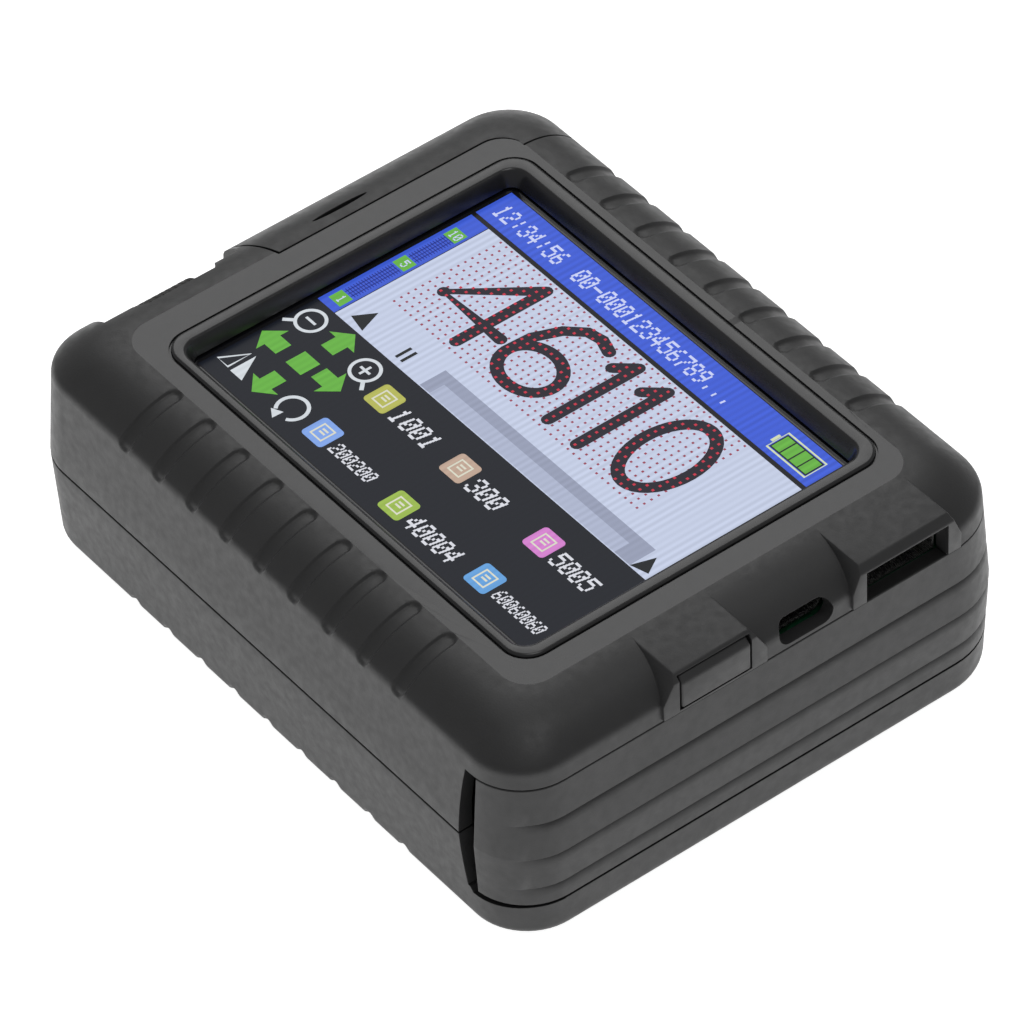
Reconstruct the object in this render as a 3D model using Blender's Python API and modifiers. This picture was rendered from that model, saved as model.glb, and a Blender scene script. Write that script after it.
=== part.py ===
"""Handheld date code inkjet printer: a flat two-shell housing with a 3.5 inch touch screen, a cartridge bay
behind a hinged door, and a print face with two rollers. Row frame: +Z out of the screen, +X towards the ports
and the door, -X towards the print face, origin at the bottom centre. Sizes below are millimetres."""

import math

import bmesh
import bpy
from mathutils import Matrix, Vector

MM = 0.001
GAP = 0.3

# From the drawing's origin, under the middle of the flat top's near part, to the middle of the whole box.
OFFSET = (-0.75, 2.15, 0.0)

# Housing: rounded rectangles stacked up the height, each grown by a spread from the flat top. The -X and +Y
# sides spread less than the other two.
TOP_LOW = (-43.2, -34.0)
TOP_HIGH = (43.2, 30.9)
WALL_SPREAD = 10.6
FAR_SHARE_X = 9.1 / 10.6
FAR_SHARE_Y = 9.4 / 10.6
UPPER_CREASE_SPREAD = 9.6
LOWER_CREASE_SPREAD = 10.0
BOTTOM_SPREAD = 0.4
TOP_CORNER = 4.3
WALL_CORNER = 8.8
HINGE_CORNER = 11.0
HEIGHT = 36.5
SHOULDER_RADIUS = 13.5
CREASE_DROP = 4.0
CREASE_BLEND = 0.5
SPLIT_Z = 17.9
WALL = 2.0
DECK = 2.2
CORNER_STEPS = 7

# Grip grooves in both shoulders.
GROOVE_FIRST_X = -29.37
GROOVE_PITCH = 7.34
GROOVE_COUNT = 9
GROOVE_RADIUS = 1.25
GROOVE_LIFT = 0.45

# Screen window and the stack under it.
WINDOW_CENTRE = (0.5, -1.1)
WINDOW_TOP_HALF = (36.8, 28.4)
WINDOW_LOW_HALF = (35.9, 27.2)
WINDOW_CORNER = 2.6
BEAD_CENTRE = (0.45, -0.8)
BEAD_HALF = (38.75, 30.1)
BEAD_RISE = 0.3
BEAD_CORNER = 3.7
GLASS_TOP = 34.0
GLASS_THICK = 1.0
GLASS_HALF = (39.0, 30.6)
MODULE_TOP = 32.7
MODULE_THICK = 2.3

# Main board and the connectors on it.
BOARD_TOP = 29.4
BOARD_THICK = 1.6
USB_A_Y = 20.75
USB_A_SIZE = (10.6, 13.1, 5.4)
USB_A_MOUTH_X = 50.8
USB_C_Y = 4.35
USB_C_Z = 32.0
USB_C_SIZE = (7.3, 8.94, 3.16)
USB_C_MOUTH_X = 50.3
USB_C_SLOT = (8.9, 3.4)

# Power button under its hood.
BUTTON_Y = -11.0
BUTTON_WIDTH = 11.2
BUTTON_Z = (30.7, 35.8)
BUTTON_FACE_X = 53.6
BUTTON_TRAVEL = 0.8
HOOD_CHAMFER = 1.0

# Cartridge door: hinged at the +X/+Y corner, pulled at the -Y end.
DOOR_Z = (9.2, 29.6)
DOOR_END_X = 45.7
DOOR_GROOVES_Z = (12.3, 17.85, 23.65)
DOOR_GROOVE_DEPTH = 0.55
DOOR_GROOVE_HALF = 0.55
DOOR_GROOVE_STOP_Y = -38.0
HINGE_XY = (44.0, 37.9)
HINGE_BARREL = 2.4
PIN_RADIUS = 0.7
PIN_HOLE = 0.8
EAR_RADIUS = 1.45
EAR_DEEP = 1.7
FIXED_WALL_X = 40.9
SLOT_X = 43.6
SLOT_BULGE = 1.0

# Print face.
INSERT_Y = (-32.9, -11.3)
INSERT_RECESS = 1.6
INSERT_THICK = 1.8
INSERT_TOP_X = -48.0
INSERT_DEEP_Y = (-26.6, -15.6)
INSERT_DEEP_X = -46.8
CHEEK = 1.2
ROLLER_X = -48.8
ROLLER_RADIUS = 3.5
ROLLER_Z = (7.5, 29.0)
AXLE_RADIUS = 1.0
AXLE_HOLE = 1.1

# Cartridge, its frame and the battery under it.
CARTRIDGE_LOW = (-44.0, -35.0, 10.1)
CARTRIDGE_HIGH = (28.0, 31.0, 27.0)
SNOUT_Y = (-29.6, -15.2)
SNOUT_Z = (11.6, 24.4)
NOZZLE_MARGIN = 0.8
NOZZLE_X = -51.2
FRAME_FLOOR_Z = (8.8, 9.8)
BATTERY_LOW = (-46.0, -6.0, 2.6)
BATTERY_HIGH = (34.0, 29.8, 8.2)

# End cover over the battery end.
COVER_Y = -7.7
COVER_LOW_Y = -9.9
COVER_LOW_X = -49.0
COVER_TOP_X = -42.9
COVER_WRAP_X = -39.0
COVER_LOW_Z = 2.4

# Screws: (x, y) of the columns that join the shells, and of the board's posts.
SHELL_SCREWS = ((38.0, -39.0), (36.0, 34.7), (-35.0, 34.7), (-39.5, -39.2))
BOARD_SCREWS = ((-18.0, -39.4), (18.0, -39.4), (-18.0, 35.1), (18.0, 35.1))
COLUMN_RADIUS = 2.2
HEAD_POCKET = 2.5

COLOURS = {
    "shell": ((0.045, 0.045, 0.047), 0.42, 0.0),
    "black": ((0.012, 0.012, 0.013), 0.5, 0.0),
    "glass": ((0.02, 0.02, 0.025), 0.08, 0.0),
    "steel": ((0.62, 0.62, 0.60), 0.28, 1.0),
    "board": ((0.02, 0.16, 0.07), 0.45, 0.0),
    "white": ((0.75, 0.75, 0.73), 0.4, 0.0),
    "rubber": ((0.02, 0.02, 0.02), 0.8, 0.0),
    "gold": ((0.80, 0.55, 0.22), 0.3, 1.0),
    "amber": ((0.45, 0.22, 0.04), 0.4, 0.0),
    "blue": ((0.04, 0.12, 0.38), 0.5, 0.0),
}


def clear_scene():
    for obj in list(bpy.data.objects):
        bpy.data.objects.remove(obj, do_unlink=True)


def new_collection(name):
    found = bpy.data.collections.new(name)
    bpy.context.scene.collection.children.link(found)
    return found


def principled(name, look):
    colour, rough, metal = COLOURS[look]
    made = bpy.data.materials.new(name)
    made.use_nodes = True
    shader = made.node_tree.nodes["Principled BSDF"]
    shader.inputs["Base Color"].default_value = (*colour, 1.0)
    shader.inputs["Roughness"].default_value = rough
    shader.inputs["Metallic"].default_value = metal
    return made


class Maker:
    """Turns bmeshes into parts or cutters, and joins or cuts them with Boolean modifiers."""

    def __init__(self):
        self.parts = new_collection("date_code_inkjet_printer")
        self.cutters = new_collection("cutters")
        self.cutters.hide_render = True

    def _object(self, name, work, origin):
        bmesh.ops.recalc_face_normals(work, faces=work.faces)
        at = Vector(origin) * MM
        bmesh.ops.translate(work, verts=work.verts, vec=-at)
        mesh = bpy.data.meshes.new(name)
        work.to_mesh(mesh)
        work.free()
        obj = bpy.data.objects.new(name, mesh)
        obj.location = at + Vector(OFFSET) * MM
        return obj

    def part(self, name, work, look, origin=(0, 0, 0)):
        obj = self._object(name, work, origin)
        obj.data.materials.append(principled(name + "_material", look))
        obj.data.shade_smooth()
        obj.data.set_sharp_from_angle(angle=math.radians(32))
        self.parts.objects.link(obj)
        return obj

    def cutter(self, name, work):
        obj = self._object(name, work, (0, 0, 0))
        obj.display_type = "WIRE"
        obj.hide_render = True
        self.cutters.objects.link(obj)
        return obj

    def boolean(self, target, operation, name, work):
        other = work if isinstance(work, bpy.types.Object) else self.cutter(name, work)
        step = target.modifiers.new(name, "BOOLEAN")
        step.operation = operation
        step.object = other

    def cut(self, target, name, work):
        self.boolean(target, "DIFFERENCE", name, work)

    def join(self, target, name, work):
        self.boolean(target, "UNION", name, work)

    def keep(self, target, name, work):
        self.boolean(target, "INTERSECT", name, work)


def box(low, high):
    """A cuboid between two corners."""
    work = bmesh.new()
    low, high = Vector(low), Vector(high)
    size = high - low
    place = Matrix.Translation((low + high) / 2 * MM) @ Matrix.Diagonal((*(size * MM), 1))
    bmesh.ops.create_cube(work, size=1, matrix=place)
    return work


def rod(start, end, radius, segments=20, end_radius=None):
    """A cylinder or cone between two points."""
    work = bmesh.new()
    start, end = Vector(start) * MM, Vector(end) * MM
    along = end - start
    turn = along.to_track_quat("Z", "Y").to_matrix().to_4x4()
    bmesh.ops.create_cone(
        work,
        cap_ends=True,
        segments=segments,
        radius1=radius * MM,
        radius2=(radius if end_radius is None else end_radius) * MM,
        depth=along.length,
        matrix=Matrix.Translation((start + end) / 2) @ turn,
    )
    return work


def merged(works):
    """Several bmeshes in one, kept as separate bodies."""
    whole = bmesh.new()
    for work in works:
        mesh = bpy.data.meshes.new("piece")
        work.to_mesh(mesh)
        work.free()
        whole.from_mesh(mesh)
        bpy.data.meshes.remove(mesh)
    return whole


def prism(outline, axis, low, high):
    """A flat outline extruded along an axis: 'z' takes (x, y) points, 'y' takes (x, z), 'x' takes (y, z)."""
    def place(point, level):
        u, v = point
        return {"z": (u, v, level), "y": (u, level, v), "x": (level, u, v)}[axis]

    work = bmesh.new()
    corners = [work.verts.new(Vector(place(point, low)) * MM) for point in outline]
    face = work.faces.new(corners)
    grown = bmesh.ops.extrude_face_region(work, geom=[face])
    moved = [item for item in grown["geom"] if isinstance(item, bmesh.types.BMVert)]
    shift = Vector(place((0, 0), high)) - Vector(place((0, 0), low))
    bmesh.ops.translate(work, verts=moved, vec=shift * MM)
    return work


def rounded_outline(half, radius, centre=(0, 0), steps=CORNER_STEPS):
    """Points round a rounded rectangle, anticlockwise from the +X side."""
    points = []
    for corner in range(4):
        side_x = 1 if corner in (0, 3) else -1
        side_y = 1 if corner in (0, 1) else -1
        middle_x = centre[0] + side_x * (half[0] - radius)
        middle_y = centre[1] + side_y * (half[1] - radius)
        for step in range(steps + 1):
            angle = math.radians(90 * corner + 90 * step / steps)
            points.append((middle_x + radius * math.cos(angle), middle_y + radius * math.sin(angle)))
    return points


def loft(rings):
    """A closed solid through rings of equal point count, each a list of (x, y, z)."""
    work = bmesh.new()
    rows = [[work.verts.new(Vector(point) * MM) for point in ring] for ring in rings]
    for lower, upper in zip(rows, rows[1:]):
        for i in range(len(lower)):
            j = (i + 1) % len(lower)
            work.faces.new((lower[i], lower[j], upper[j], upper[i]))
    work.faces.new(rows[0][::-1])
    work.faces.new(rows[-1])
    return work


def flat_ring(half, radius, z, centre=(0, 0)):
    return [(x, y, z) for x, y in rounded_outline(half, radius, centre)]


def spread_ring(spread, z, inset=0.0):
    """A ring of the housing: the flat top's outline grown by the spread, its corner radii growing with it."""
    grown = spread + inset
    low = (TOP_LOW[0] - FAR_SHARE_X * grown + inset, TOP_LOW[1] - spread)
    high = (TOP_HIGH[0] + spread, TOP_HIGH[1] + FAR_SHARE_Y * grown - inset)
    ring = []
    for corner in range(4):
        wide = HINGE_CORNER if corner == 0 else WALL_CORNER
        radius = max(TOP_CORNER + (wide - TOP_CORNER) * grown / WALL_SPREAD - inset, 1.0)
        middle_x = high[0] - radius if corner in (0, 3) else low[0] + radius
        middle_y = high[1] - radius if corner in (0, 1) else low[1] + radius
        for step in range(CORNER_STEPS + 1):
            angle = math.radians(90 * corner + 90 * step / CORNER_STEPS)
            ring.append((middle_x + radius * math.cos(angle), middle_y + radius * math.sin(angle), z))
    return ring


def wall_spread(z):
    """Spread of the outer wall at a height: drafted both ways from the split line."""
    if z >= SPLIT_Z:
        top = HEIGHT - CREASE_DROP
        share = (z - SPLIT_Z) / (top - SPLIT_Z)
        return WALL_SPREAD + (UPPER_CREASE_SPREAD - WALL_SPREAD) * share
    share = (SPLIT_Z - z) / (SPLIT_Z - CREASE_DROP)
    return WALL_SPREAD + (LOWER_CREASE_SPREAD - WALL_SPREAD) * share


def shoulder(inset):
    """(run, drop) points of the shoulder arc, from the flat face out to the crease."""
    reach = math.acos((SHOULDER_RADIUS - CREASE_DROP) / SHOULDER_RADIUS) - CREASE_BLEND / SHOULDER_RADIUS
    radius = SHOULDER_RADIUS - inset
    steps = 5
    angles = [reach * step / steps for step in range(steps + 1)]
    return [(radius * math.sin(a), SHOULDER_RADIUS - radius * math.cos(a)) for a in angles]


def body_rings(inset=0.0, top_inset=None, z_low=0.0, z_high=HEIGHT):
    """Rings of the housing's outside, or of a surface the inset inside it, between two heights."""
    top_inset = inset if top_inset is None else top_inset
    blend = [(0.35, 0.12), (0.0, 0.45)] if inset == 0 else [(0.0, 0.6)]
    levels = []
    for run, drop in shoulder(inset):
        levels.append((BOTTOM_SPREAD + run, drop))
    crease = CREASE_DROP + 0.6 * inset
    for back, past in blend:
        levels.append((wall_spread(crease + past) - inset - back * 0.4, crease + past))
    levels.append((WALL_SPREAD - inset, SPLIT_Z))
    crease = HEIGHT - CREASE_DROP - 0.6 * inset
    for back, past in reversed(blend):
        levels.append((wall_spread(crease - past) - inset - back * 0.4, crease - past))
    for run, drop in reversed(shoulder(top_inset)):
        levels.append((run, HEIGHT - drop))

    def at(z):
        for (spread_a, z_a), (spread_b, z_b) in zip(levels, levels[1:]):
            if z_a <= z <= z_b:
                return spread_a + (spread_b - spread_a) * (z - z_a) / (z_b - z_a)
        return levels[-1][0]

    kept = [(spread, z) for spread, z in levels if z_low + 1e-6 < z < z_high - 1e-6]
    if z_low > levels[0][1]:
        kept.insert(0, (at(z_low), z_low))
    else:
        kept.insert(0, levels[0])
    if z_high < levels[-1][1]:
        kept.append((at(z_high), z_high))
    else:
        kept.append(levels[-1])
    unique = [kept[0]]
    for item in kept[1:]:
        if item[1] - unique[-1][1] > 1e-6:
            unique.append(item)
    return [spread_ring(spread, z, inset) for spread, z in unique]


def grooves(side_z):
    """Straight cuts across both shoulders, deepest half way down: side_z is 1 on the top shell, -1 below."""
    works = []
    top = HEIGHT if side_z > 0 else 0.0
    for index in range(GROOVE_COUNT):
        x = GROOVE_FIRST_X + GROOVE_PITCH * index
        for side_y, edge_y, share in ((-1, -TOP_LOW[1], 1.0), (1, TOP_HIGH[1], FAR_SHARE_Y)):
            upper = (x, side_y * (edge_y - 0.6), top + side_z * (GROOVE_LIFT + 0.3))
            lower_y = side_y * (edge_y + (UPPER_CREASE_SPREAD + 0.9) * share)
            lower = (x, lower_y, top - side_z * (CREASE_DROP - GROOVE_LIFT + 0.4))
            works.append(rod(upper, lower, GROOVE_RADIUS, 10))
    return merged(works)


def door_opening():
    """The gap in both shells that the door closes, with the finger slot's bowed edge at its -Y end."""
    low, high = DOOR_Z[0] - GAP, DOOR_Z[1] + GAP * 0.7
    middle = (low + high) / 2
    bow = []
    for step in range(9):
        z = high + (low - high) * step / 8
        bow.append((SLOT_X - SLOT_BULGE * (1 - ((z - middle) / (high - middle)) ** 2), z))
    near = prism([(60.0, low), (60.0, high), *bow], "y", -60.0, 10.0)
    far = box((FIXED_WALL_X, 5.0, low), (60.0, 60.0, high))
    return near, far


def cover_outline(grow):
    """Plan of the end cover's area: along the flat top's edge, then round its corner."""
    x, wrap = COVER_TOP_X + grow, COVER_WRAP_X + grow
    corner_y = TOP_HIGH[1] - TOP_CORNER
    arc = []
    for step in range(5):
        angle = math.radians(180 - 72 * step / 4)
        arc.append((x + TOP_CORNER + TOP_CORNER * math.cos(angle), corner_y + TOP_CORNER * math.sin(angle)))
    tail = [(wrap, arc[-1][1]), (wrap, 60.0), (-60.0, 60.0)]
    arc = [point for point in arc if point[0] < wrap - 0.2]
    edge = [(-60.0, COVER_LOW_Y - grow), (COVER_LOW_X, COVER_LOW_Y - grow), (x, COVER_Y - grow)]
    return [*edge, *arc, *tail]


def hood(y, top_half, slope, front_x, low_z):
    """A flat-topped block that fills out the shoulder round a port or button, with sloped cheeks."""
    outline = []
    for sign in (1, -1):
        side = [
            (y + sign * top_half, HEIGHT - 0.02),
            (y + sign * (top_half + slope), HEIGHT - CREASE_DROP),
            (y + sign * (top_half + slope), low_z),
        ]
        outline += side if sign > 0 else side[::-1]
    block = prism(outline, "x", TOP_HIGH[0] - 1.0, front_x)
    chamfer = [edge for edge in block.edges
               if all(v.co.x > (front_x - 0.1) * MM and v.co.z > (HEIGHT - 0.1) * MM for v in edge.verts)]
    bmesh.ops.bevel(block, geom=chamfer, offset=HOOD_CHAMFER * MM, segments=1, affect="EDGES")
    return block


def stadium(width, height, steps=8):
    """Outline of a slot with round ends, about (0, 0)."""
    points = []
    for side in (1, -1):
        for step in range(steps + 1):
            angle = math.radians(-90 + 180 * step / steps)
            points.append((side * ((width - height) / 2 + height / 2 * math.cos(angle)),
                           side * height / 2 * math.sin(angle)))
    return points


def top_shell(make):
    shell = make.part("top_shell", loft(body_rings(z_low=SPLIT_Z + GAP / 2)), "shell")
    make.join(shell, "button_hood", hood(BUTTON_Y, 6.2, 2.3, 53.4, 29.95))
    make.join(shell, "usb_hood", hood(USB_A_Y, 7.5, 1.6, 53.4, 29.95))
    cavity = body_rings(inset=WALL, top_inset=DECK, z_low=SPLIT_Z - 5.0)
    make.cut(shell, "upper_cavity", loft(cavity))
    outer = flat_ring(BEAD_HALF, BEAD_CORNER, HEIGHT - 0.5, BEAD_CENTRE)
    crown_half = (BEAD_HALF[0] - 0.35, BEAD_HALF[1] - 0.35)
    shoulder_ring = flat_ring(BEAD_HALF, BEAD_CORNER, HEIGHT + BEAD_RISE * 0.3, BEAD_CENTRE)
    crown = flat_ring(crown_half, BEAD_CORNER - 0.35, HEIGHT + BEAD_RISE, BEAD_CENTRE)
    make.join(shell, "window_bead", loft([outer, shoulder_ring, crown]))
    window = [
        flat_ring(WINDOW_LOW_HALF, WINDOW_CORNER * 0.6, GLASS_TOP - 0.5, WINDOW_CENTRE),
        flat_ring(WINDOW_LOW_HALF, WINDOW_CORNER * 0.6, GLASS_TOP + 0.35, WINDOW_CENTRE),
        flat_ring(WINDOW_TOP_HALF, WINDOW_CORNER, HEIGHT + BEAD_RISE + 0.1, WINDOW_CENTRE),
    ]
    make.cut(shell, "window", loft(window))
    make.cut(shell, "grip_grooves_top", grooves(1))
    near, far = door_opening()
    near_cut, far_cut = make.cutter("door_opening_near", near), make.cutter("door_opening_far", far)
    make.cut(shell, "door_near", near_cut)
    make.cut(shell, "door_far", far_cut)
    half = BUTTON_WIDTH / 2 + GAP
    button_hole = box((49.2, BUTTON_Y - half, BUTTON_Z[0] - GAP), (56.0, BUTTON_Y + half, BUTTON_Z[1] + GAP))
    make.cut(shell, "button_hole", button_hole)
    usb_half = USB_A_SIZE[1] / 2 + GAP
    usb_top = BOARD_TOP + 0.15 + USB_A_SIZE[2] + GAP
    rear = USB_A_MOUTH_X - USB_A_SIZE[0] - 1
    usb_hole = box((rear, USB_A_Y - usb_half, DOOR_Z[1]), (56.0, USB_A_Y + usb_half, usb_top))
    make.cut(shell, "usb_a_hole", usb_hole)
    slot_ring = [(USB_C_Y + y, USB_C_Z + z) for y, z in stadium(*USB_C_SLOT)]
    slot = prism(slot_ring, "x", USB_C_MOUTH_X + 0.2, 56.0)
    make.cut(shell, "usb_c_slot", slot)
    half_y, half_z = USB_C_SIZE[1] / 2 + GAP, USB_C_SIZE[2] / 2 + GAP
    pocket_low = (42.0, USB_C_Y - half_y, USB_C_Z - half_z - 1.0)
    pocket = box(pocket_low, (USB_C_MOUTH_X + GAP, USB_C_Y + half_y, USB_C_Z + half_z))
    make.cut(shell, "usb_c_pocket", pocket)
    low_y, high_y = INSERT_Y[0] - GAP, INSERT_Y[1] + GAP
    edge_x, deep_x = INSERT_TOP_X + GAP, INSERT_DEEP_X + GAP
    low_deep, high_deep = INSERT_DEEP_Y
    mouth = [
        (-60.0, low_y), (edge_x, low_y), (edge_x, low_deep - 2.0), (deep_x, low_deep), (deep_x, high_deep),
        (edge_x, high_deep + 0.6), (edge_x, high_y), (-60.0, high_y),
    ]
    insert_gap = prism(mouth, "z", 3.0, HEIGHT + 1.0)
    make.insert_gap = make.cutter("insert_opening", insert_gap)
    make.cut(shell, "insert_hole", make.insert_gap)
    cover_gap = prism(cover_outline(GAP), "z", COVER_LOW_Z - GAP, 40.0)
    make.cover_gap = make.cutter("cover_opening", cover_gap)
    make.cut(shell, "cover_hole", make.cover_gap)
    for index, (x, y) in enumerate(SHELL_SCREWS):
        make.join(shell, f"column_{index}", rod((x, y, SPLIT_Z + 0.4), (x, y, 34.0), COLUMN_RADIUS, 16))
        make.cut(shell, f"column_hole_{index}", rod((x, y, 10.0), (x, y, 26.4), 1.25, 14))
    for index, (x, y) in enumerate(BOARD_SCREWS):
        make.join(shell, f"post_{index}", rod((x, y, BOARD_TOP + GAP), (x, y, 33.6), 1.8, 14))
        make.cut(shell, f"post_hole_{index}", rod((x, y, 20.0), (x, y, 32.2), 0.95, 12))
    ear_low = DOOR_Z[1] + GAP * 0.7
    make.join(shell, "upper_ear", rod((*HINGE_XY, ear_low), (*HINGE_XY, ear_low + EAR_DEEP), EAR_RADIUS, 16))
    make.cut(shell, "upper_pin_hole", rod((*HINGE_XY, ear_low - 1), (*HINGE_XY, ear_low + 1.4), PIN_HOLE, 16))
    make.near_cut, make.far_cut = near_cut, far_cut
    return shell


def bottom_shell(make):
    shell = make.part("bottom_shell", loft(body_rings(z_high=SPLIT_Z - GAP / 2)), "shell")
    make.cut(shell, "lower_cavity", loft(body_rings(inset=WALL, z_high=SPLIT_Z + 5.0)))
    make.cut(shell, "grip_grooves_bottom", grooves(-1))
    make.cut(shell, "door_near", make.near_cut)
    make.cut(shell, "door_far", make.far_cut)
    make.cut(shell, "insert_hole", make.insert_gap)
    make.cut(shell, "cover_hole", make.cover_gap)
    for index, (x, y) in enumerate(SHELL_SCREWS):
        make.join(shell, f"foot_{index}", rod((x, y, 1.6), (x, y, 5.4), 3.3, 18))
        make.join(shell, f"column_{index}", rod((x, y, 5.0), (x, y, SPLIT_Z - 0.4), COLUMN_RADIUS, 16))
        make.cut(shell, f"pocket_{index}", rod((x, y, -3.0), (x, y, 3.2), HEAD_POCKET, 18))
        make.cut(shell, f"clearance_{index}", rod((x, y, 2.0), (x, y, SPLIT_Z + 3), 1.4, 14))
    for index, (x, y) in enumerate(((-30.0, -22.0), (43.0, -24.0), (43.0, 24.0))):
        make.join(shell, f"rest_{index}", rod((x, y, 1.5), (x, y, FRAME_FLOOR_Z[0] - GAP), 2.0, 14))
    ear_high = DOOR_Z[0] - GAP
    ear = rod((*HINGE_XY, ear_high - EAR_DEEP), (*HINGE_XY, ear_high), EAR_RADIUS, 16)
    make.join(shell, "lower_ear", ear)
    hole = rod((*HINGE_XY, ear_high - 1.4), (*HINGE_XY, ear_high + 1), PIN_HOLE, 16)
    make.cut(shell, "lower_pin_hole", hole)
    return shell


def cartridge_door(make):
    """The grooved panel that wraps both +X corners, with its hinge barrel at the +Y end."""
    rings = []
    levels = [DOOR_Z[0], DOOR_Z[1], SPLIT_Z]
    for middle in DOOR_GROOVES_Z:
        levels += [middle - DOOR_GROOVE_HALF, middle, middle + DOOR_GROOVE_HALF]
    for z in sorted({round(level, 3) for level in levels}):
        deep = any(abs(z - middle) < 0.01 for middle in DOOR_GROOVES_Z)
        rings.append(door_ring(z, DOOR_GROOVE_DEPTH if deep else 0.0))
    door = make.part("cartridge_door", loft(rings), "shell", origin=(*HINGE_XY, sum(DOOR_Z) / 2))
    inner = body_rings(inset=WALL, z_low=5.0, z_high=32.0)
    make.cut(door, "door_inside", loft(inner))
    make.join(door, "barrel", rod((*HINGE_XY, DOOR_Z[0]), (*HINGE_XY, DOOR_Z[1]), HINGE_BARREL, 24))
    outline = [(DOOR_END_X, -60.0), (60.0, -60.0), (60.0, 60.0), (HINGE_XY[0], 60.0)]
    arc = []
    for step in range(13):
        angle = math.radians(90 + 180 * step / 12)
        reach = HINGE_BARREL + 0.01
        arc.append((HINGE_XY[0] + reach * math.cos(angle), HINGE_XY[1] + reach * math.sin(angle)))
    region = prism([*outline, *arc, (DOOR_END_X, HINGE_XY[1] - HINGE_BARREL - 0.01)], "z", 0.0, 40.0)
    make.keep(door, "door_area", region)
    make.keep(door, "door_flush", loft(body_rings(z_low=5.0, z_high=32.0)))
    make.cut(door, "barrel_hole", rod((*HINGE_XY, 0.0), (*HINGE_XY, 40.0), PIN_HOLE, 16))
    return door


def door_ring(z, depth):
    """A ring of the housing's wall with the groove's depth taken off, fading out past the -Y corner."""
    plain = spread_ring(wall_spread(z), z)
    ring = []
    for x, y, level in plain:
        fade = min(max((y - DOOR_GROOVE_STOP_Y + 4.0) / 4.0, 0.0), 1.0) if x > 0 else 0.0
        pull_x = depth * fade * min(max((x - 45.0) / 8.0, 0.0), 1.0)
        pull_y = depth * fade * min(max((y - 31.7) / 8.0, 0.0), 1.0)
        ring.append((x - pull_x, y - pull_y, level))
    return ring


def door_pieces(make):
    cartridge_door(make)
    make.part("door_magnet", box((49.2, -36.0, 15.0), (51.0, -31.0, 21.0)), "steel")
    make.part("catch_plate", box((47.8, -36.3, 15.0), (48.6, -31.0, 21.0)), "steel")
    low = DOOR_Z[0] - GAP - 1.2
    high = DOOR_Z[1] + GAP * 0.7 + 1.2
    make.part("hinge_pin", rod((*HINGE_XY, low), (*HINGE_XY, high), PIN_RADIUS, 16), "steel")


def power_button(make):
    half = BUTTON_WIDTH / 2
    low_z, high_z = BUTTON_Z
    chamfer = 0.9
    profile = [
        (50.3, low_z), (BUTTON_FACE_X, low_z), (BUTTON_FACE_X, high_z - chamfer),
        (BUTTON_FACE_X - chamfer, high_z), (50.3, high_z),
    ]
    cap = prism(profile, "y", BUTTON_Y - half, BUTTON_Y + half)
    cap_part = make.part("power_button", cap, "shell", origin=(BUTTON_FACE_X, BUTTON_Y, sum(BUTTON_Z) / 2))
    soften = cap_part.modifiers.new("round_corners", "BEVEL")
    soften.width = 0.35 * MM
    soften.segments = 2
    soften.limit_method = "ANGLE"
    soften.angle_limit = math.radians(40)
    stem = box((49.4 + BUTTON_TRAVEL, BUTTON_Y - 1.5, 30.95), (51.0, BUTTON_Y + 1.5, 32.2))
    make.join(cap_part, "button_stem", stem)
    switch = box((43.6, BUTTON_Y - 3.0, BOARD_TOP + GAP), (48.0, BUTTON_Y + 3.0, 32.2))
    make.part("tact_switch", switch, "black")
    make.part("switch_plunger", box((48.3, BUTTON_Y - 1.0, 31.1), (49.2, BUTTON_Y + 1.0, 31.9)), "white")


def screen(make):
    low = (WINDOW_CENTRE[0] - GLASS_HALF[0], WINDOW_CENTRE[1] - GLASS_HALF[1])
    high = (WINDOW_CENTRE[0] + GLASS_HALF[0], WINDOW_CENTRE[1] + GLASS_HALF[1])
    make.part("touch_panel", box((*low, GLASS_TOP - GLASS_THICK), (*high, GLASS_TOP)), "glass")
    module_low = (low[0] + 0.6, low[1] + 0.6, MODULE_TOP - MODULE_THICK)
    make.part("display_module", box(module_low, (high[0] - 0.6, high[1] - 0.6, MODULE_TOP)), "black")
    ribbon = [(-38.4, 31.6), (-41.6, 31.6), (-41.6, 29.75), (-36.5, 29.75), (-36.5, 29.95), (-41.4, 29.95),
              (-41.4, 31.4), (-38.4, 31.4)]
    make.part("display_flex", prism(ribbon, "y", -10.0, 12.0), "amber")


def board_outline():
    left, right, near, far = -44.4, 50.9, -41.0, 36.7
    return [(left + 5, near), (right - 5.5, near), (right, near + 5.5), (right, 28.6), (47.5, 31.2),
            (40.2, 31.2), (40.2, far), (-38.0, far), (left, 29.7), (left, near + 5)]


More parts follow.
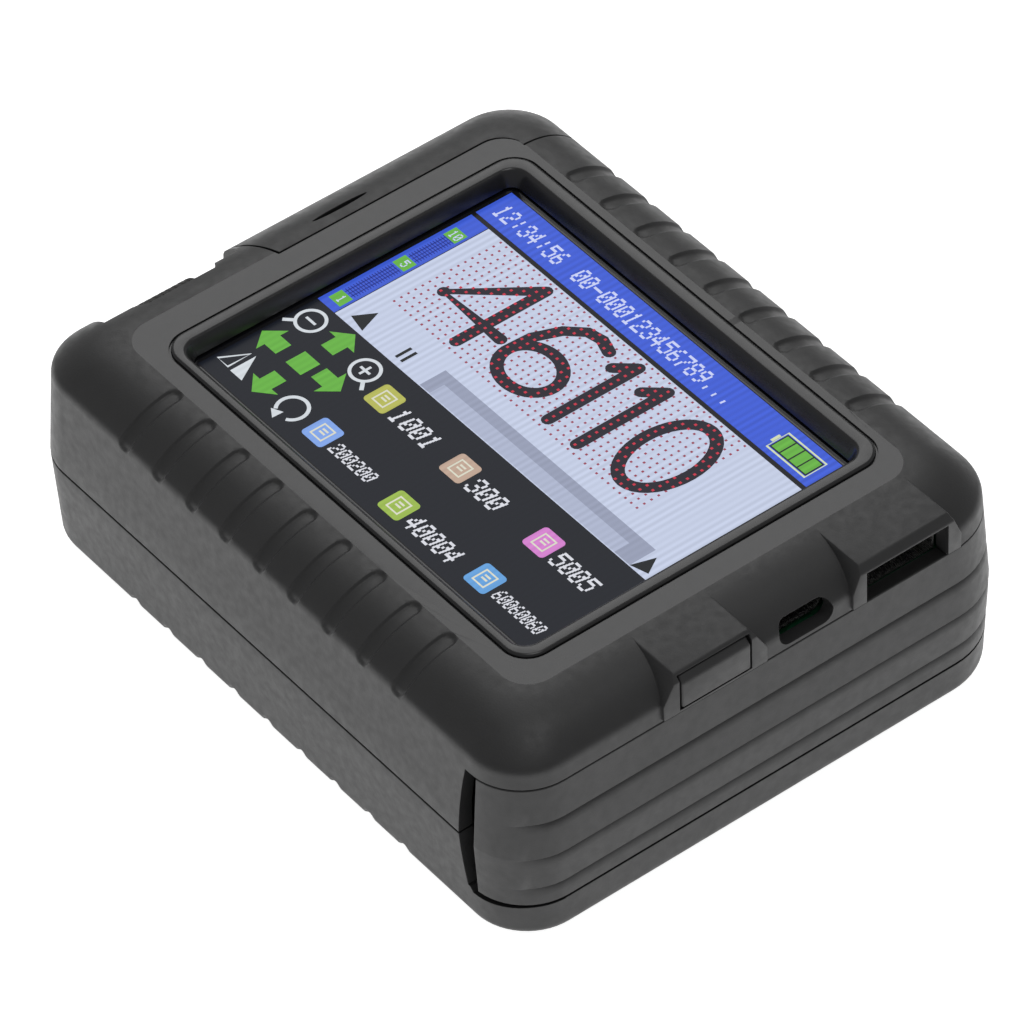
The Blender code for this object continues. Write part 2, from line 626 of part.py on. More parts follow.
def electronics(make):
    board = make.part("main_board", prism(board_outline(), "z", BOARD_TOP - BOARD_THICK, BOARD_TOP), "board")
    for index, (x, y) in enumerate(SHELL_SCREWS):
        make.cut(board, f"column_gap_{index}", rod((x, y, 20.0), (x, y, 33.0), COLUMN_RADIUS + 0.4, 16))
    for index, (x, y) in enumerate(BOARD_SCREWS):
        make.cut(board, f"screw_hole_{index}", rod((x, y, 20.0), (x, y, 33.0), 1.2, 12))
    length, width, height = USB_A_SIZE
    low_z = BOARD_TOP + 0.15
    rear, mouth = USB_A_MOUTH_X - length, USB_A_MOUTH_X
    can_low = (rear, USB_A_Y - width / 2, low_z)
    can = make.part("usb_a_shell", box(can_low, (mouth, USB_A_Y + width / 2, low_z + height)), "steel")
    inner_low = (rear + 0.6, USB_A_Y - width / 2 + 0.35, low_z + 0.35)
    inner_high = (mouth + 1, USB_A_Y + width / 2 - 0.35, low_z + height - 0.35)
    make.cut(can, "usb_a_inside", box(inner_low, inner_high))
    tongue_low = (rear + 0.9, USB_A_Y - 5.6, low_z + 2.9)
    tongue = box(tongue_low, (mouth - 1.6, USB_A_Y + 5.6, low_z + 4.7))
    make.part("usb_a_tongue", tongue, "black")
    length, width, height = USB_C_SIZE
    ring = [(USB_C_Y + y, USB_C_Z + z) for y, z in stadium(width, height)]
    can = make.part("usb_c_shell", prism(ring, "x", USB_C_MOUTH_X - length, USB_C_MOUTH_X), "steel")
    hole = [(USB_C_Y + y, USB_C_Z + z) for y, z in stadium(width - 0.6, height - 0.6)]
    make.cut(can, "usb_c_inside", prism(hole, "x", USB_C_MOUTH_X - length + 0.8, USB_C_MOUTH_X + 1))
    back = USB_C_MOUTH_X - length + 1.1
    tongue = box((back, USB_C_Y - 3.3, USB_C_Z - 0.35), (USB_C_MOUTH_X - 0.9, USB_C_Y + 3.3, USB_C_Z + 0.35))
    make.part("usb_c_tongue", tongue, "black")
    foot_low = (USB_C_MOUTH_X - length, USB_C_Y - 2.5, BOARD_TOP + 0.1)
    foot = box(foot_low, (USB_C_MOUTH_X - 3.0, USB_C_Y + 2.5, USB_C_Z - height / 2 + 0.15))
    make.join(can, "usb_c_foot", foot)
    buzzer = make.part("buzzer", rod((44.2, -29.0, BOARD_TOP + 0.1), (44.2, -29.0, 32.4), 4.2, 24), "black")
    make.cut(buzzer, "sound_hole", rod((44.2, -29.0, 31.6), (44.2, -29.0, 34.0), 0.8, 12))
    for index, (x, y) in enumerate(BOARD_SCREWS):
        screw(make, f"board_screw_{index + 1}", (x, y, BOARD_TOP - BOARD_THICK - GAP), 1.7, 1.1, 0.85, 4.1)
    for index, (x, y) in enumerate(SHELL_SCREWS):
        screw(make, f"shell_screw_{index + 1}", (x, y, 2.9), HEAD_POCKET - 0.3, 1.5, 1.15, 22.8)


def screw(make, name, seat, head_radius, head_depth, radius, length):
    """A pan head screw pointing up, its head's top face at the seat, with a cross recess underneath."""
    x, y, z = seat
    made = make.part(name, rod((x, y, z - head_depth), seat, head_radius * 0.86, 18, head_radius), "steel")
    make.join(made, "shank", rod((x, y, z - 0.3), (x, y, z + length), radius, 12))
    arm, width = head_radius * 0.62, head_radius * 0.2
    for turn in range(2):
        half = (arm, width) if turn == 0 else (width, arm)
        low = (x - half[0], y - half[1], z - head_depth - 1)
        make.cut(made, f"recess_{turn}", box(low, (x + half[0], y + half[1], z - head_depth * 0.4)))


def cartridge(make):
    body = make.part("ink_cartridge", box(CARTRIDGE_LOW, CARTRIDGE_HIGH), "black")
    snout = box((NOZZLE_X + 0.5, SNOUT_Y[0], SNOUT_Z[0]), (CARTRIDGE_LOW[0] + 1, SNOUT_Y[1], SNOUT_Z[1]))
    make.join(body, "snout", snout)
    tab = [(27.0, -9.0), (44.0, -6.0), (46.5, -3.5), (46.5, 3.5), (44.0, 6.0), (27.0, 9.0)]
    middle_z = (CARTRIDGE_LOW[2] + CARTRIDGE_HIGH[2]) / 2
    make.join(body, "pull_tab", prism(tab, "z", middle_z - 1.2, middle_z + 1.2))
    margin = NOZZLE_MARGIN
    plate_low = (NOZZLE_X, SNOUT_Y[0] + margin, SNOUT_Z[0] + margin)
    plate = box(plate_low, (NOZZLE_X + 0.2, SNOUT_Y[1] - margin, SNOUT_Z[1] - margin))
    make.part("nozzle_plate", plate, "gold")
    low_z, high_z = FRAME_FLOOR_Z
    floor = make.part("cartridge_frame", box((-44.6, -36.3, low_z), (47.4, 32.4, high_z)), "black")
    make.join(floor, "near_guide", box((-44.6, -36.3, low_z), (47.4, -35.3, 27.2)))
    make.join(floor, "far_guide", box((-44.6, 31.4, low_z), (47.4, 32.4, 27.2)))
    make.part("battery_pack", box(BATTERY_LOW, BATTERY_HIGH), "blue")
    block = make.part("contact_block", box((-48.4, -4.0, 12.0), (-45.4, 10.0, 25.0)), "black")
    pins = []
    for row in range(3):
        for column in range(6):
            y, z = -2.0 + 2.0 * column, 14.5 + 4.0 * row
            pins.append(rod((-46.0, y, z), (-44.3, y, z), 0.45, 8))
    make.join(block, "spring_pins", merged(pins))
    lead = [(-46.4, 25.3), (-46.4, 27.0), (-43.0, 27.3), (-43.0, 27.5), (-46.6, 27.2), (-46.6, 25.3)]
    make.part("contact_flex", prism(lead, "y", -2.0, 8.0), "amber")


def print_face(make):
    outer = body_rings(inset=INSERT_RECESS, z_low=3.3)
    insert = make.part("print_insert", loft(outer), "black")
    inner = body_rings(inset=INSERT_RECESS + INSERT_THICK)
    make.cut(insert, "insert_inside", loft(inner))
    make.keep(insert, "insert_area", box((-60.0, INSERT_Y[0], 3.3), (INSERT_TOP_X, INSERT_Y[1], HEIGHT)))
    for index, y in enumerate((INSERT_Y[0], INSERT_Y[1] - CHEEK)):
        cheek = box((-50.0, y, 5.0), (-45.4, y + CHEEK, 31.0))
        make.join(insert, f"cheek_{index}", cheek)
    for index, z in enumerate(ROLLER_Z):
        reach = ROLLER_RADIUS + 0.5
        window_low = (-56.0, INSERT_Y[0] + CHEEK + 0.4, z - reach)
        window = box(window_low, (-45.0, INSERT_Y[1] - CHEEK - 0.4, z + reach))
        make.cut(insert, f"roller_window_{index}", window)
        make.cut(insert, f"axle_hole_{index}", rod((ROLLER_X, -40.0, z), (ROLLER_X, 0.0, z), AXLE_HOLE, 16))
    snout_low = (-60.0, SNOUT_Y[0] - GAP, SNOUT_Z[0] - GAP)
    make.cut(insert, "snout_window", box(snout_low, (-40.0, SNOUT_Y[1] + GAP, SNOUT_Z[1] + GAP)))
    tyre_low, tyre_high = INSERT_Y[0] + CHEEK + 0.8, INSERT_Y[1] - CHEEK - 4.2
    for name, z in zip(("idler", "encoder"), ROLLER_Z):
        at = (ROLLER_X, sum(INSERT_Y) / 2, z)
        rubber = rod((ROLLER_X, tyre_low, z), (ROLLER_X, tyre_high, z), ROLLER_RADIUS, 28)
        tyre = make.part(f"{name}_roller", rubber, "rubber", origin=at)
        make.cut(tyre, f"{name}_bore", rod((ROLLER_X, -40.0, z), (ROLLER_X, 0.0, z), AXLE_HOLE, 16))
        axle = rod((ROLLER_X, INSERT_Y[0] + 0.1, z), (ROLLER_X, INSERT_Y[1] - 0.1, z), AXLE_RADIUS, 16)
        make.part(f"{name}_axle", axle, "steel", origin=at)
    z = ROLLER_Z[1]
    ring = rod((ROLLER_X, tyre_high + 0.5, z), (ROLLER_X, tyre_high + 2.7, z), 2.5, 20)
    magnet = make.part("encoder_magnet", ring, "steel", origin=(ROLLER_X, sum(INSERT_Y) / 2, z))
    make.cut(magnet, "magnet_bore", rod((ROLLER_X, -40.0, z), (ROLLER_X, 0.0, z), AXLE_HOLE, 16))
    make.part("encoder_sensor", box((-45.1, tyre_high - 1.0, 29.9), (-44.2, tyre_high + 3.6, 32.3)), "board")


def end_cover(make):
    cover = make.part("end_cover", loft(body_rings()), "shell")
    make.cut(cover, "cover_inside", loft(body_rings(inset=WALL, top_inset=DECK)))
    make.keep(cover, "cover_area", prism(cover_outline(0.0), "z", COVER_LOW_Z, 40.0))


def build():
    clear_scene()
    make = Maker()
    top_shell(make)
    bottom_shell(make)
    door_pieces(make)
    power_button(make)
    screen(make)
    electronics(make)
    cartridge(make)
    print_face(make)
    end_cover(make)


build()
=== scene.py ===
"""Looks of the handheld date code inkjet printer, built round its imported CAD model. Row frame: +Z out of the
screen, +X towards the ports and the door, -X towards the print face. Lengths below are millimetres."""

import math

import bmesh
import bpy
from mathutils import Matrix, Vector


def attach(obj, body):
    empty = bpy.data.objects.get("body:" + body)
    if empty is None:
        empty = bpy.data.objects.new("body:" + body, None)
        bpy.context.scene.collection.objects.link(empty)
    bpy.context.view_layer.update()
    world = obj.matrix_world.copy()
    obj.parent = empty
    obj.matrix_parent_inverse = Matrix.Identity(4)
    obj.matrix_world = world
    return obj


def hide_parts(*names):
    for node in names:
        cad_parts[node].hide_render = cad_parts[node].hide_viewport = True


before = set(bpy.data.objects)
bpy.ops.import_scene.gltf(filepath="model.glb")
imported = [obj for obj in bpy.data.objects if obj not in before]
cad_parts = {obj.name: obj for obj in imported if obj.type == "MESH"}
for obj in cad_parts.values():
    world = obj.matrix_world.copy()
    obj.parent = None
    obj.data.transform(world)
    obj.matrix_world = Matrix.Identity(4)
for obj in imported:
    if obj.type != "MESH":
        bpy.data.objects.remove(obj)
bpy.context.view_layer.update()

MM = 0.001

# Shapes are drawn from the middle of the window; this places them in the row frame.
OFFSET = Vector((-0.75, 2.15, 0.0))

# Housing: rounded rectangles up the height, each grown by a spread from the flat top. The -X and +Y sides
# spread by a smaller share.
TOP_LOW = (-43.2, -34.0)
TOP_HIGH = (43.2, 30.9)
FAR_SHARE_X = 9.1 / 10.6
FAR_SHARE_Y = 9.4 / 10.6
TOP_CORNER = 4.3
WALL_CORNER = 8.8
HINGE_CORNER = 11.0
HEIGHT = 36.5
SHOULDER_RADIUS = 13.5
CREASE_DROP = 4.0
CREASE_SOFT = 0.75
SPLIT_Z = 17.9
SPLIT_SPREAD = 10.6
WALL = 2.0
GAP = 0.3
CORNER_STEPS = 14

# Grip grooves.
GROOVE_X = [-29.37 + 7.34 * index for index in range(9)]
GROOVE_HALF = 1.28
GROOVE_EDGE = 0.42
GROOVE_DEPTH = 0.3
GRIP_END_X = 31.5

# Window, bead and display.
BEAD_CENTRE = (0.45, -0.8)
BEAD_HALF = (38.75, 30.1)
BEAD_CORNER = 3.7
WINDOW_CENTRE = (0.5, -1.1)
GLASS_TOP = 34.0
PANEL_CORNER = (-34.49, 25.08)
PANEL_SIZE = (70.08, 52.56)

# Window recess from the glass up: half sizes, corner radius, height.
WINDOW_RINGS = (
    ((35.9, 27.2), 1.56, 33.0), ((35.9, 27.2), 1.56, 34.3), ((36.62, 28.16), 2.5, 36.4),
    ((36.74, 28.32), 2.6, 36.62), ((36.95, 28.55), 2.8, 36.74), ((37.2, 28.8), 3.0, 36.81),
)

# Door and print face.
DOOR_Z = (9.2, 29.6)
DOOR_END_X = 45.7
DOOR_GROOVES_Z = (12.3, 17.85, 23.65)
HINGE_XY = (44.0, 37.9)
HINGE_BARREL = 2.4
SLOT_X = 43.6
INSERT_Y = (-32.9, -11.3)
ROLLER_X = -48.8
ROLLER_RADIUS = 3.5
ROLLER_Z = {"idler": 7.5, "encoder": 29.0}
COVER_TOP_X = -42.9
SHELL_SCREWS = ((38.0, -39.0), (36.0, 34.7), (-35.0, 34.7), (-39.5, -39.2))

BUTTON_Y = -11.0
USB_A_Y = 20.75
USB_C_Y = 4.35
USB_C_Z = 32.0
USB_C_MOUTH_X = 50.3


# Camera, lights and floor.

def camera():
    made = bpy.data.cameras.new("camera")
    made.lens = 272.3
    made.sensor_width = 36.0
    made.clip_start = 0.05
    made.clip_end = 20.0
    obj = bpy.data.objects.new("camera", made)
    right, up = Vector((0.61689, 0.78644, -0.03107)), Vector((-0.53347, 0.44683, 0.71815))
    forward = Vector((-0.57867, 0.42645, -0.69518))
    turn = Matrix((right, up, -forward)).transposed().to_4x4()
    obj.matrix_world = Matrix.Translation(Vector((592.92, -437.94, 730.0)) * MM) @ turn
    bpy.context.scene.collection.objects.link(obj)
    bpy.context.scene.camera = obj


def softbox(name, direction, distance, size, power):
    """A square soft light on the object's centre, from a direction."""
    lamp = bpy.data.lights.new(name, "AREA")
    lamp.size = size
    lamp.energy = power
    obj = bpy.data.objects.new(name, lamp)
    towards = Vector(direction).normalized()
    obj.location = Vector((0.0, 0.0, 0.02)) + towards * distance
    obj.rotation_mode = "QUATERNION"
    obj.rotation_quaternion = (-towards).to_track_quat("-Z", "Y")
    bpy.context.scene.collection.objects.link(obj)


def studio():
    bpy.context.scene.view_settings.view_transform = "Standard"
    world = bpy.data.worlds.new("studio")
    bpy.context.scene.world = world
    world.use_nodes = True
    sky = world.node_tree.nodes["Background"]
    sky.inputs["Color"].default_value = (1.0, 1.0, 1.0, 1.0)
    sky.inputs["Strength"].default_value = 0.32
    softbox("key_softbox", (-0.62, 0.42, 0.72), 1.1, 0.75, 3.0)
    softbox("top_softbox", (0.15, 0.1, 1.0), 1.3, 0.5, 2.0)
    work = bmesh.new()
    bmesh.ops.create_grid(work, x_segments=1, y_segments=1, size=6.0)
    mesh = bpy.data.meshes.new("floor")
    work.to_mesh(mesh)
    work.free()
    floor = bpy.data.objects.new("floor", mesh)
    bpy.context.scene.collection.objects.link(floor)
    paper = Look("white_paper", (0.8, 0.8, 0.8), 0.9)
    paper.set("Emission Color", (1.0, 1.0, 1.0, 1.0))
    paper.set("Emission Strength", 0.9)
    mesh.materials.append(paper.made)


# Materials.

def linear(*levels):
    """Linear colour of an 8 bit sRGB colour."""
    return tuple(((v / 255 + 0.055) / 1.055) ** 2.4 if v > 10 else v / 255 / 12.92 for v in levels)


class Look:
    """A Principled material and the nodes that give it detail."""

    def __init__(self, name, colour, rough, metal=0.0):
        self.made = bpy.data.materials.new(name)
        self.made.use_nodes = True
        self.nodes = self.made.node_tree.nodes
        self.shader = self.nodes["Principled BSDF"]
        self.colour = colour
        self.set("Base Color", (*colour, 1.0))
        self.set("Roughness", rough)
        self.set("Metallic", metal)
        self.place = self.node("ShaderNodeTexCoord").outputs["Object"]

    def set(self, socket, value):
        self.shader.inputs[socket].default_value = value

    def node(self, kind, **settings):
        made = self.nodes.new(kind)
        for name, value in settings.items():
            setattr(made, name, value)
        return made

    def link(self, source, target):
        self.made.node_tree.links.new(source, target)

    def noise(self, size, detail=2.0, stretch=None):
        """Noise with features of about that size in millimetres."""
        found = self.node("ShaderNodeTexNoise")
        found.inputs["Scale"].default_value = 1 / (size * MM)
        found.inputs["Detail"].default_value = detail
        place = self.place
        if stretch:
            scaled = self.node("ShaderNodeMapping")
            scaled.inputs["Scale"].default_value = stretch
            self.link(place, scaled.inputs["Vector"])
            place = scaled.outputs["Vector"]
        self.link(place, found.inputs["Vector"])
        return found.outputs["Fac"]

    def specks(self, spacing, radius):
        """1 on sparse small specks, 0 elsewhere."""
        cells = self.node("ShaderNodeTexVoronoi")
        cells.inputs["Scale"].default_value = 1 / (spacing * MM)
        self.link(self.place, cells.inputs["Vector"])
        return self.calc("LESS_THAN", cells.outputs["Distance"], radius / spacing)

    def calc(self, operation, *values):
        made = self.node("ShaderNodeMath", operation=operation)
        for socket, value in zip(made.inputs, values):
            if isinstance(value, (int, float)):
                socket.default_value = value
            else:
                self.link(value, socket)
        return made.outputs[0]

    def spread(self, source, low, high, first, last):
        """Maps a value from low..high to first..last."""
        made = self.node("ShaderNodeMapRange")
        for name, value in (("From Min", low), ("From Max", high), ("To Min", first), ("To Max", last)):
            made.inputs[name].default_value = value
        self.link(source, made.inputs["Value"])
        return made.outputs["Result"]

    def mix(self, factor, first, second):
        made = self.node("ShaderNodeMix", data_type="RGBA")
        self.link(factor, made.inputs[0])
        for socket, value in ((made.inputs[6], first), (made.inputs[7], second)):
            if isinstance(value, tuple):
                socket.default_value = (*value, 1.0)
            else:
                self.link(value, socket)
        return made.outputs[2]

    def tint(self, factor, first, second):
        self.link(self.mix(factor, first, second), self.shader.inputs["Base Color"])

    def rough(self, source, low, high):
        self.link(self.spread(source, 0.3, 0.7, low, high), self.shader.inputs["Roughness"])

    def bump(self, source, depth, strength=1.0, edge=0.0):
        """Bump of a depth in millimetres, over edges softened by a radius."""
        made = self.node("ShaderNodeBump")
        made.inputs["Strength"].default_value = strength
        made.inputs["Distance"].default_value = depth * MM
        self.link(source, made.inputs["Height"])
        if edge:
            round_edge = self.node("ShaderNodeBevel", samples=3)
            round_edge.inputs["Radius"].default_value = edge * MM
            self.link(round_edge.outputs["Normal"], made.inputs["Normal"])
        self.link(made.outputs["Normal"], self.shader.inputs["Normal"])


def moulded(name, colour, low_rough, high_rough, grain, depth, edge=0.12, dust=False):
    """Moulded plastic with a spark-eroded grain."""
    look = Look(name, colour, high_rough)
    mottle = look.noise(9.0, 3.0)
    lighter = tuple(v * 1.12 for v in colour)
    darker = tuple(v * 0.9 for v in colour)
    body = look.mix(mottle, darker, lighter)
    if dust:
        look.tint(look.specks(19.0, 0.085), body, (0.55, 0.55, 0.55))
    else:
        look.link(body, look.shader.inputs["Base Color"])
    look.rough(look.noise(1.4, 3.0), low_rough, high_rough)
    look.bump(look.noise(grain, 1.0), depth, 1.0, edge)
    return look


def brushed(name, colour, low_rough, high_rough, stretch=(1.0, 14.0, 14.0)):
    """Drawn or plated metal with fine lines."""
    look = Look(name, colour, high_rough, 1.0)
    look.tint(look.noise(4.0, 3.0), tuple(v * 0.88 for v in colour), colour)
    look.rough(look.noise(1.0, 4.0, stretch), low_rough, high_rough)
    look.bump(look.noise(0.8, 3.0, stretch), 0.004, 0.6)
    return look


def lit(name, colour, stripes=0.08, base=0.05):
    """A colour of the lit display, with the fine bands that its pixels make."""
    look = Look(name, tuple(v * base for v in colour), 0.22)
    look.set("Specular IOR Level", 0.12)
    split = look.node("ShaderNodeSeparateXYZ")
    look.link(look.place, split.inputs[0])
    fine = look.calc("SINE", look.calc("MULTIPLY", split.outputs["X"], 2 * math.pi / (1.05 * MM)))
    slow = look.calc("SINE", look.calc("MULTIPLY", split.outputs["X"], 2 * math.pi / (6.3 * MM)))
    beat = look.calc("MULTIPLY", fine, look.spread(slow, -1.0, 1.0, 0.35, 1.0))
    share = look.spread(beat, -1.0, 1.0, 0.0, 1.0)
    glow = look.mix(share, tuple(v * (1 - stripes) for v in colour), tuple(v * (1 + stripes) for v in colour))
    look.link(glow, look.shader.inputs["Emission Color"])
    look.set("Emission Strength", 1.0)
    return look


def materials():
    looks = {}
    looks["shell"] = moulded("shell_grained_abs", (0.0215, 0.0215, 0.022), 0.40, 0.52, 0.30, 0.011, dust=True)
    looks["gloss"] = moulded("shell_polished_abs", (0.017, 0.017, 0.018), 0.16, 0.24, 0.6, 0.001, 0.1)
    looks["black"] = moulded("black_moulding", (0.012, 0.012, 0.013), 0.42, 0.55, 0.35, 0.008)
    looks["cartridge"] = moulded("cartridge_moulding", (0.016, 0.016, 0.018), 0.28, 0.38, 0.4, 0.004)
    looks["white"] = moulded("white_moulding", (0.80, 0.80, 0.78), 0.30, 0.42, 0.4, 0.003, 0.05)
    rubber = looks["rubber"] = Look("roller_rubber", (0.018, 0.018, 0.018), 0.8)
    rubber.tint(rubber.noise(2.0, 4.0), (0.014, 0.014, 0.014), (0.035, 0.034, 0.032))
    rubber.rough(rubber.noise(0.7, 3.0), 0.66, 0.9)
    rubber.bump(rubber.noise(0.16, 3.0), 0.03)
    looks["steel"] = brushed("connector_steel", (0.66, 0.66, 0.64), 0.20, 0.34)
    looks["screw"] = brushed("blackened_screw_steel", (0.10, 0.10, 0.105), 0.30, 0.45, (6.0, 6.0, 1.0))
    looks["axle"] = brushed("ground_axle_steel", (0.60, 0.60, 0.59), 0.16, 0.28, (14.0, 1.0, 14.0))
    looks["nickel"] = brushed("nickel_plating", (0.68, 0.66, 0.61), 0.12, 0.24, (2.0, 2.0, 2.0))
    looks["gold"] = brushed("nozzle_gold", (0.78, 0.56, 0.25), 0.18, 0.32, (8.0, 1.0, 8.0))
    board = looks["board"] = Look("circuit_board", (0.012, 0.10, 0.045), 0.38)
    weave = board.noise(0.9, 2.0, (1.0, 4.0, 1.0))
    traces = board.calc("GREATER_THAN", board.noise(2.2, 1.0, (1.0, 0.25, 1.0)), 0.56)
    board.tint(traces, (0.010, 0.085, 0.036), (0.022, 0.150, 0.070))
    board.rough(weave, 0.30, 0.44)
    board.bump(traces, 0.03, 0.8)
    flex = looks["flex"] = Look("polyimide_flex", (0.42, 0.19, 0.03), 0.3)
    lines = flex.calc("GREATER_THAN", flex.noise(0.5, 1.0, (0.05, 1.0, 1.0)), 0.52)
    flex.tint(lines, (0.40, 0.17, 0.025), (0.62, 0.34, 0.09))
    flex.bump(lines, 0.02, 0.7)
    wrap = looks["battery"] = Look("battery_shrink_wrap", (0.03, 0.09, 0.30), 0.3)
    wrap.tint(wrap.noise(12.0, 4.0), (0.022, 0.070, 0.240), (0.045, 0.120, 0.380))
    wrap.rough(wrap.noise(3.0, 4.0), 0.18, 0.42)
    wrap.bump(wrap.noise(5.0, 4.0, (0.4, 1.0, 1.0)), 0.25, 0.6)
    glass = looks["glass"] = Look("touch_glass_border", (0.006, 0.006, 0.008), 0.1)
    glass.tint(glass.specks(7.0, 0.06), (0.006, 0.006, 0.008), (0.20, 0.20, 0.22))
    glass.rough(glass.noise(18.0, 3.0), 0.07, 0.16)
    module = looks["module"] = Look("display_frame", (0.05, 0.05, 0.055), 0.4)
    module.rough(module.noise(6.0, 3.0), 0.32, 0.5)
    module.bump(module.noise(0.8, 2.0), 0.006)
    return looks


CAD_LOOKS = {
    "battery_pack": "battery", "buzzer": "black", "cartridge_frame": "black", "contact_block": "black",
    "print_insert": "black", "tact_switch": "black", "usb_c_tongue": "black", "ink_cartridge": "cartridge",
    "switch_plunger": "white", "usb_a_tongue": "black", "catch_plate": "steel", "usb_a_shell": "steel",
    "usb_c_shell": "steel", "hinge_pin": "axle", "encoder_axle": "axle", "idler_axle": "axle",
    "door_magnet": "nickel", "encoder_magnet": "nickel", "nozzle_plate": "gold", "main_board": "board",
    "encoder_sensor": "board", "contact_flex": "flex", "display_flex": "flex", "touch_panel": "glass",
    "display_module": "module",
}


# Mesh helpers.

def box(low, high):
    work = bmesh.new()
    low, high = Vector(low), Vector(high)
    place = Matrix.Translation((low + high) / 2 * MM) @ Matrix.Diagonal((*((high - low) * MM), 1))
    bmesh.ops.create_cube(work, size=1, matrix=place)
    return work


def rod(start, end, radius, segments=32):
    work = bmesh.new()
    start, end = Vector(start) * MM, Vector(end) * MM
    along = end - start
    turn = along.to_track_quat("Z", "Y").to_matrix().to_4x4()
    bmesh.ops.create_cone(work, cap_ends=True, segments=segments, radius1=radius * MM, radius2=radius * MM,
                          depth=along.length, matrix=Matrix.Translation((start + end) / 2) @ turn)
    return work


def prism(outline, axis, low, high):
    """A flat outline extruded along an axis: 'z' takes (x, y) points, 'y' takes (x, z), 'x' takes (y, z)."""
    def place(point, level):
        u, v = point
        return {"z": (u, v, level), "y": (u, level, v), "x": (level, u, v)}[axis]

    return loft([[place(point, level) for point in outline] for level in (low, high)])


def loft(rings):
    """A closed solid through rings of equal point count, each a list of (x, y, z)."""
    work = bmesh.new()
    rows = [[work.verts.new(Vector(point) * MM) for point in ring] for ring in rings]
    for lower, upper in zip(rows, rows[1:]):
        for i in range(len(lower)):
            j = (i + 1) % len(lower)
            work.faces.new((lower[i], lower[j], upper[j], upper[i]))
    work.faces.new(rows[0][::-1])
    work.faces.new(rows[-1])
    return work


def rounded_outline(half, radius, centre=(0, 0), steps=10):
    """Points round a rounded rectangle, anticlockwise from the +X side."""
    points = []
    for corner in range(4):
        side_x = 1 if corner in (0, 3) else -1
        side_y = 1 if corner in (0, 1) else -1
        middle = (centre[0] + side_x * (half[0] - radius), centre[1] + side_y * (half[1] - radius))
        for step in range(steps + 1):
            angle = math.radians(90 * corner + 90 * step / steps)
            points.append((middle[0] + radius * math.cos(angle), middle[1] + radius * math.sin(angle)))
    return points


def window_ring(half, radius, z, centre):
    return [(x, y, z) for x, y in rounded_outline(half, radius, centre)]


def stadium(width, height, steps=12):
    """Outline of a slot with round ends, about (0, 0)."""
    points = []
    for side in (1, -1):
        for step in range(steps + 1):
            angle = math.radians(-90 + 180 * step / steps)
            points.append((side * ((width - height) / 2 + height / 2 * math.cos(angle)),
                           side * height / 2 * math.sin(angle)))
    return points


def soften(work, offset, segments=2):
    """Rounds every edge of a block."""
    bmesh.ops.bevel(work, geom=work.edges[:], offset=offset * MM, segments=segments, affect="EDGES",
                    profile=0.5)
    return work


def as_object(name, work):
    bmesh.ops.recalc_face_normals(work, faces=work.faces)
    if work.calc_volume(signed=True) < 0:
        bmesh.ops.reverse_faces(work, faces=work.faces)
    bmesh.ops.translate(work, vec=OFFSET * MM, verts=work.verts)
    mesh = bpy.data.meshes.new(name)
    work.to_mesh(mesh)
    work.free()
    obj = bpy.data.objects.new(name, mesh)
    bpy.context.scene.collection.objects.link(obj)
    return obj


def carve(name, work, steps):
    """The solid after Boolean steps of (operation, bmesh), in order."""
    obj = as_object(name, work)
    tools = []
    for operation, other in steps:
        tool = as_object(name + "_tool", other)
        tools.append(tool)
        step = obj.modifiers.new("step", "BOOLEAN")
        step.operation = {"cut": "DIFFERENCE", "join": "UNION", "keep": "INTERSECT"}[operation]
        step.solver = "EXACT"
        step.object = tool
    graph = bpy.context.evaluated_depsgraph_get()
    mesh = bpy.data.meshes.new_from_object(obj.evaluated_get(graph))
    obj.modifiers.clear()
    obj.data = mesh
    for tool in tools:
        bpy.data.objects.remove(tool, do_unlink=True)
    return obj


def piece(obj, body, looks, nodes=(), angle=30.0):
    """Finishes a piece: its shading, its materials, the body it rides on and the nodes it stands for."""
    obj.data.materials.clear()
    for look in looks:
        obj.data.materials.append(look.made)
    obj.data.shade_smooth()
    obj.data.set_sharp_from_angle(angle=math.radians(angle))
    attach(obj, body)
    if nodes:
        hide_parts(*nodes)
    return obj


# Housing surface.

def shoulder_rows(base, crease_spread, split_drop):
    """(spread, drop, out, up, path) rows from a flat face's edge, over the shoulder, to the split line."""
    reach = math.acos((SHOULDER_RADIUS - CREASE_DROP) / SHOULDER_RADIUS)
    arc_end = reach - CREASE_SOFT / SHOULDER_RADIUS
    paths = [0.0, 0.25, 0.5, 0.75, 1.0, 1.3, 1.7, 2.2]
    middle = [2.2 + (arc_end * SHOULDER_RADIUS - 2.2) * step / 9 for step in range(1, 10)]
    points = []
    for path in paths + middle:
        angle = path / SHOULDER_RADIUS
        points.append((base + SHOULDER_RADIUS * math.sin(angle), SHOULDER_RADIUS * (1 - math.cos(angle))))
    crease = Vector((crease_spread, CREASE_DROP))
    foot = Vector((SPLIT_SPREAD, split_drop))
    down = (foot - crease).normalized()
    start, end = Vector(points[-1]), crease + down * CREASE_SOFT
    for step in range(1, 7):
        t = step / 6
        points.append(tuple(start * (1 - t) ** 2 + crease * 2 * t * (1 - t) + end * t ** 2))
    for ahead in (0.2, 0.4, 0.6, 0.9, 1.5, 3.5, 6.5, 9.5):
        points.append(tuple(end + down * ahead))
    points += [tuple(foot - down * 0.22), (foot.x - 0.03, foot.y - 0.07), (foot.x - 0.14, foot.y)]
    rows = []
    travelled = 0.0
    for index, point in enumerate(points):
        before, after = points[max(index - 1, 0)], points[min(index + 1, len(points) - 1)]
        run = Vector((after[0] - before[0], after[1] - before[1])).normalized()
        if index:
            travelled += (Vector(point) - Vector(points[index - 1])).length
        rows.append((point[0], point[1], run.y, run.x, travelled))
    return rows


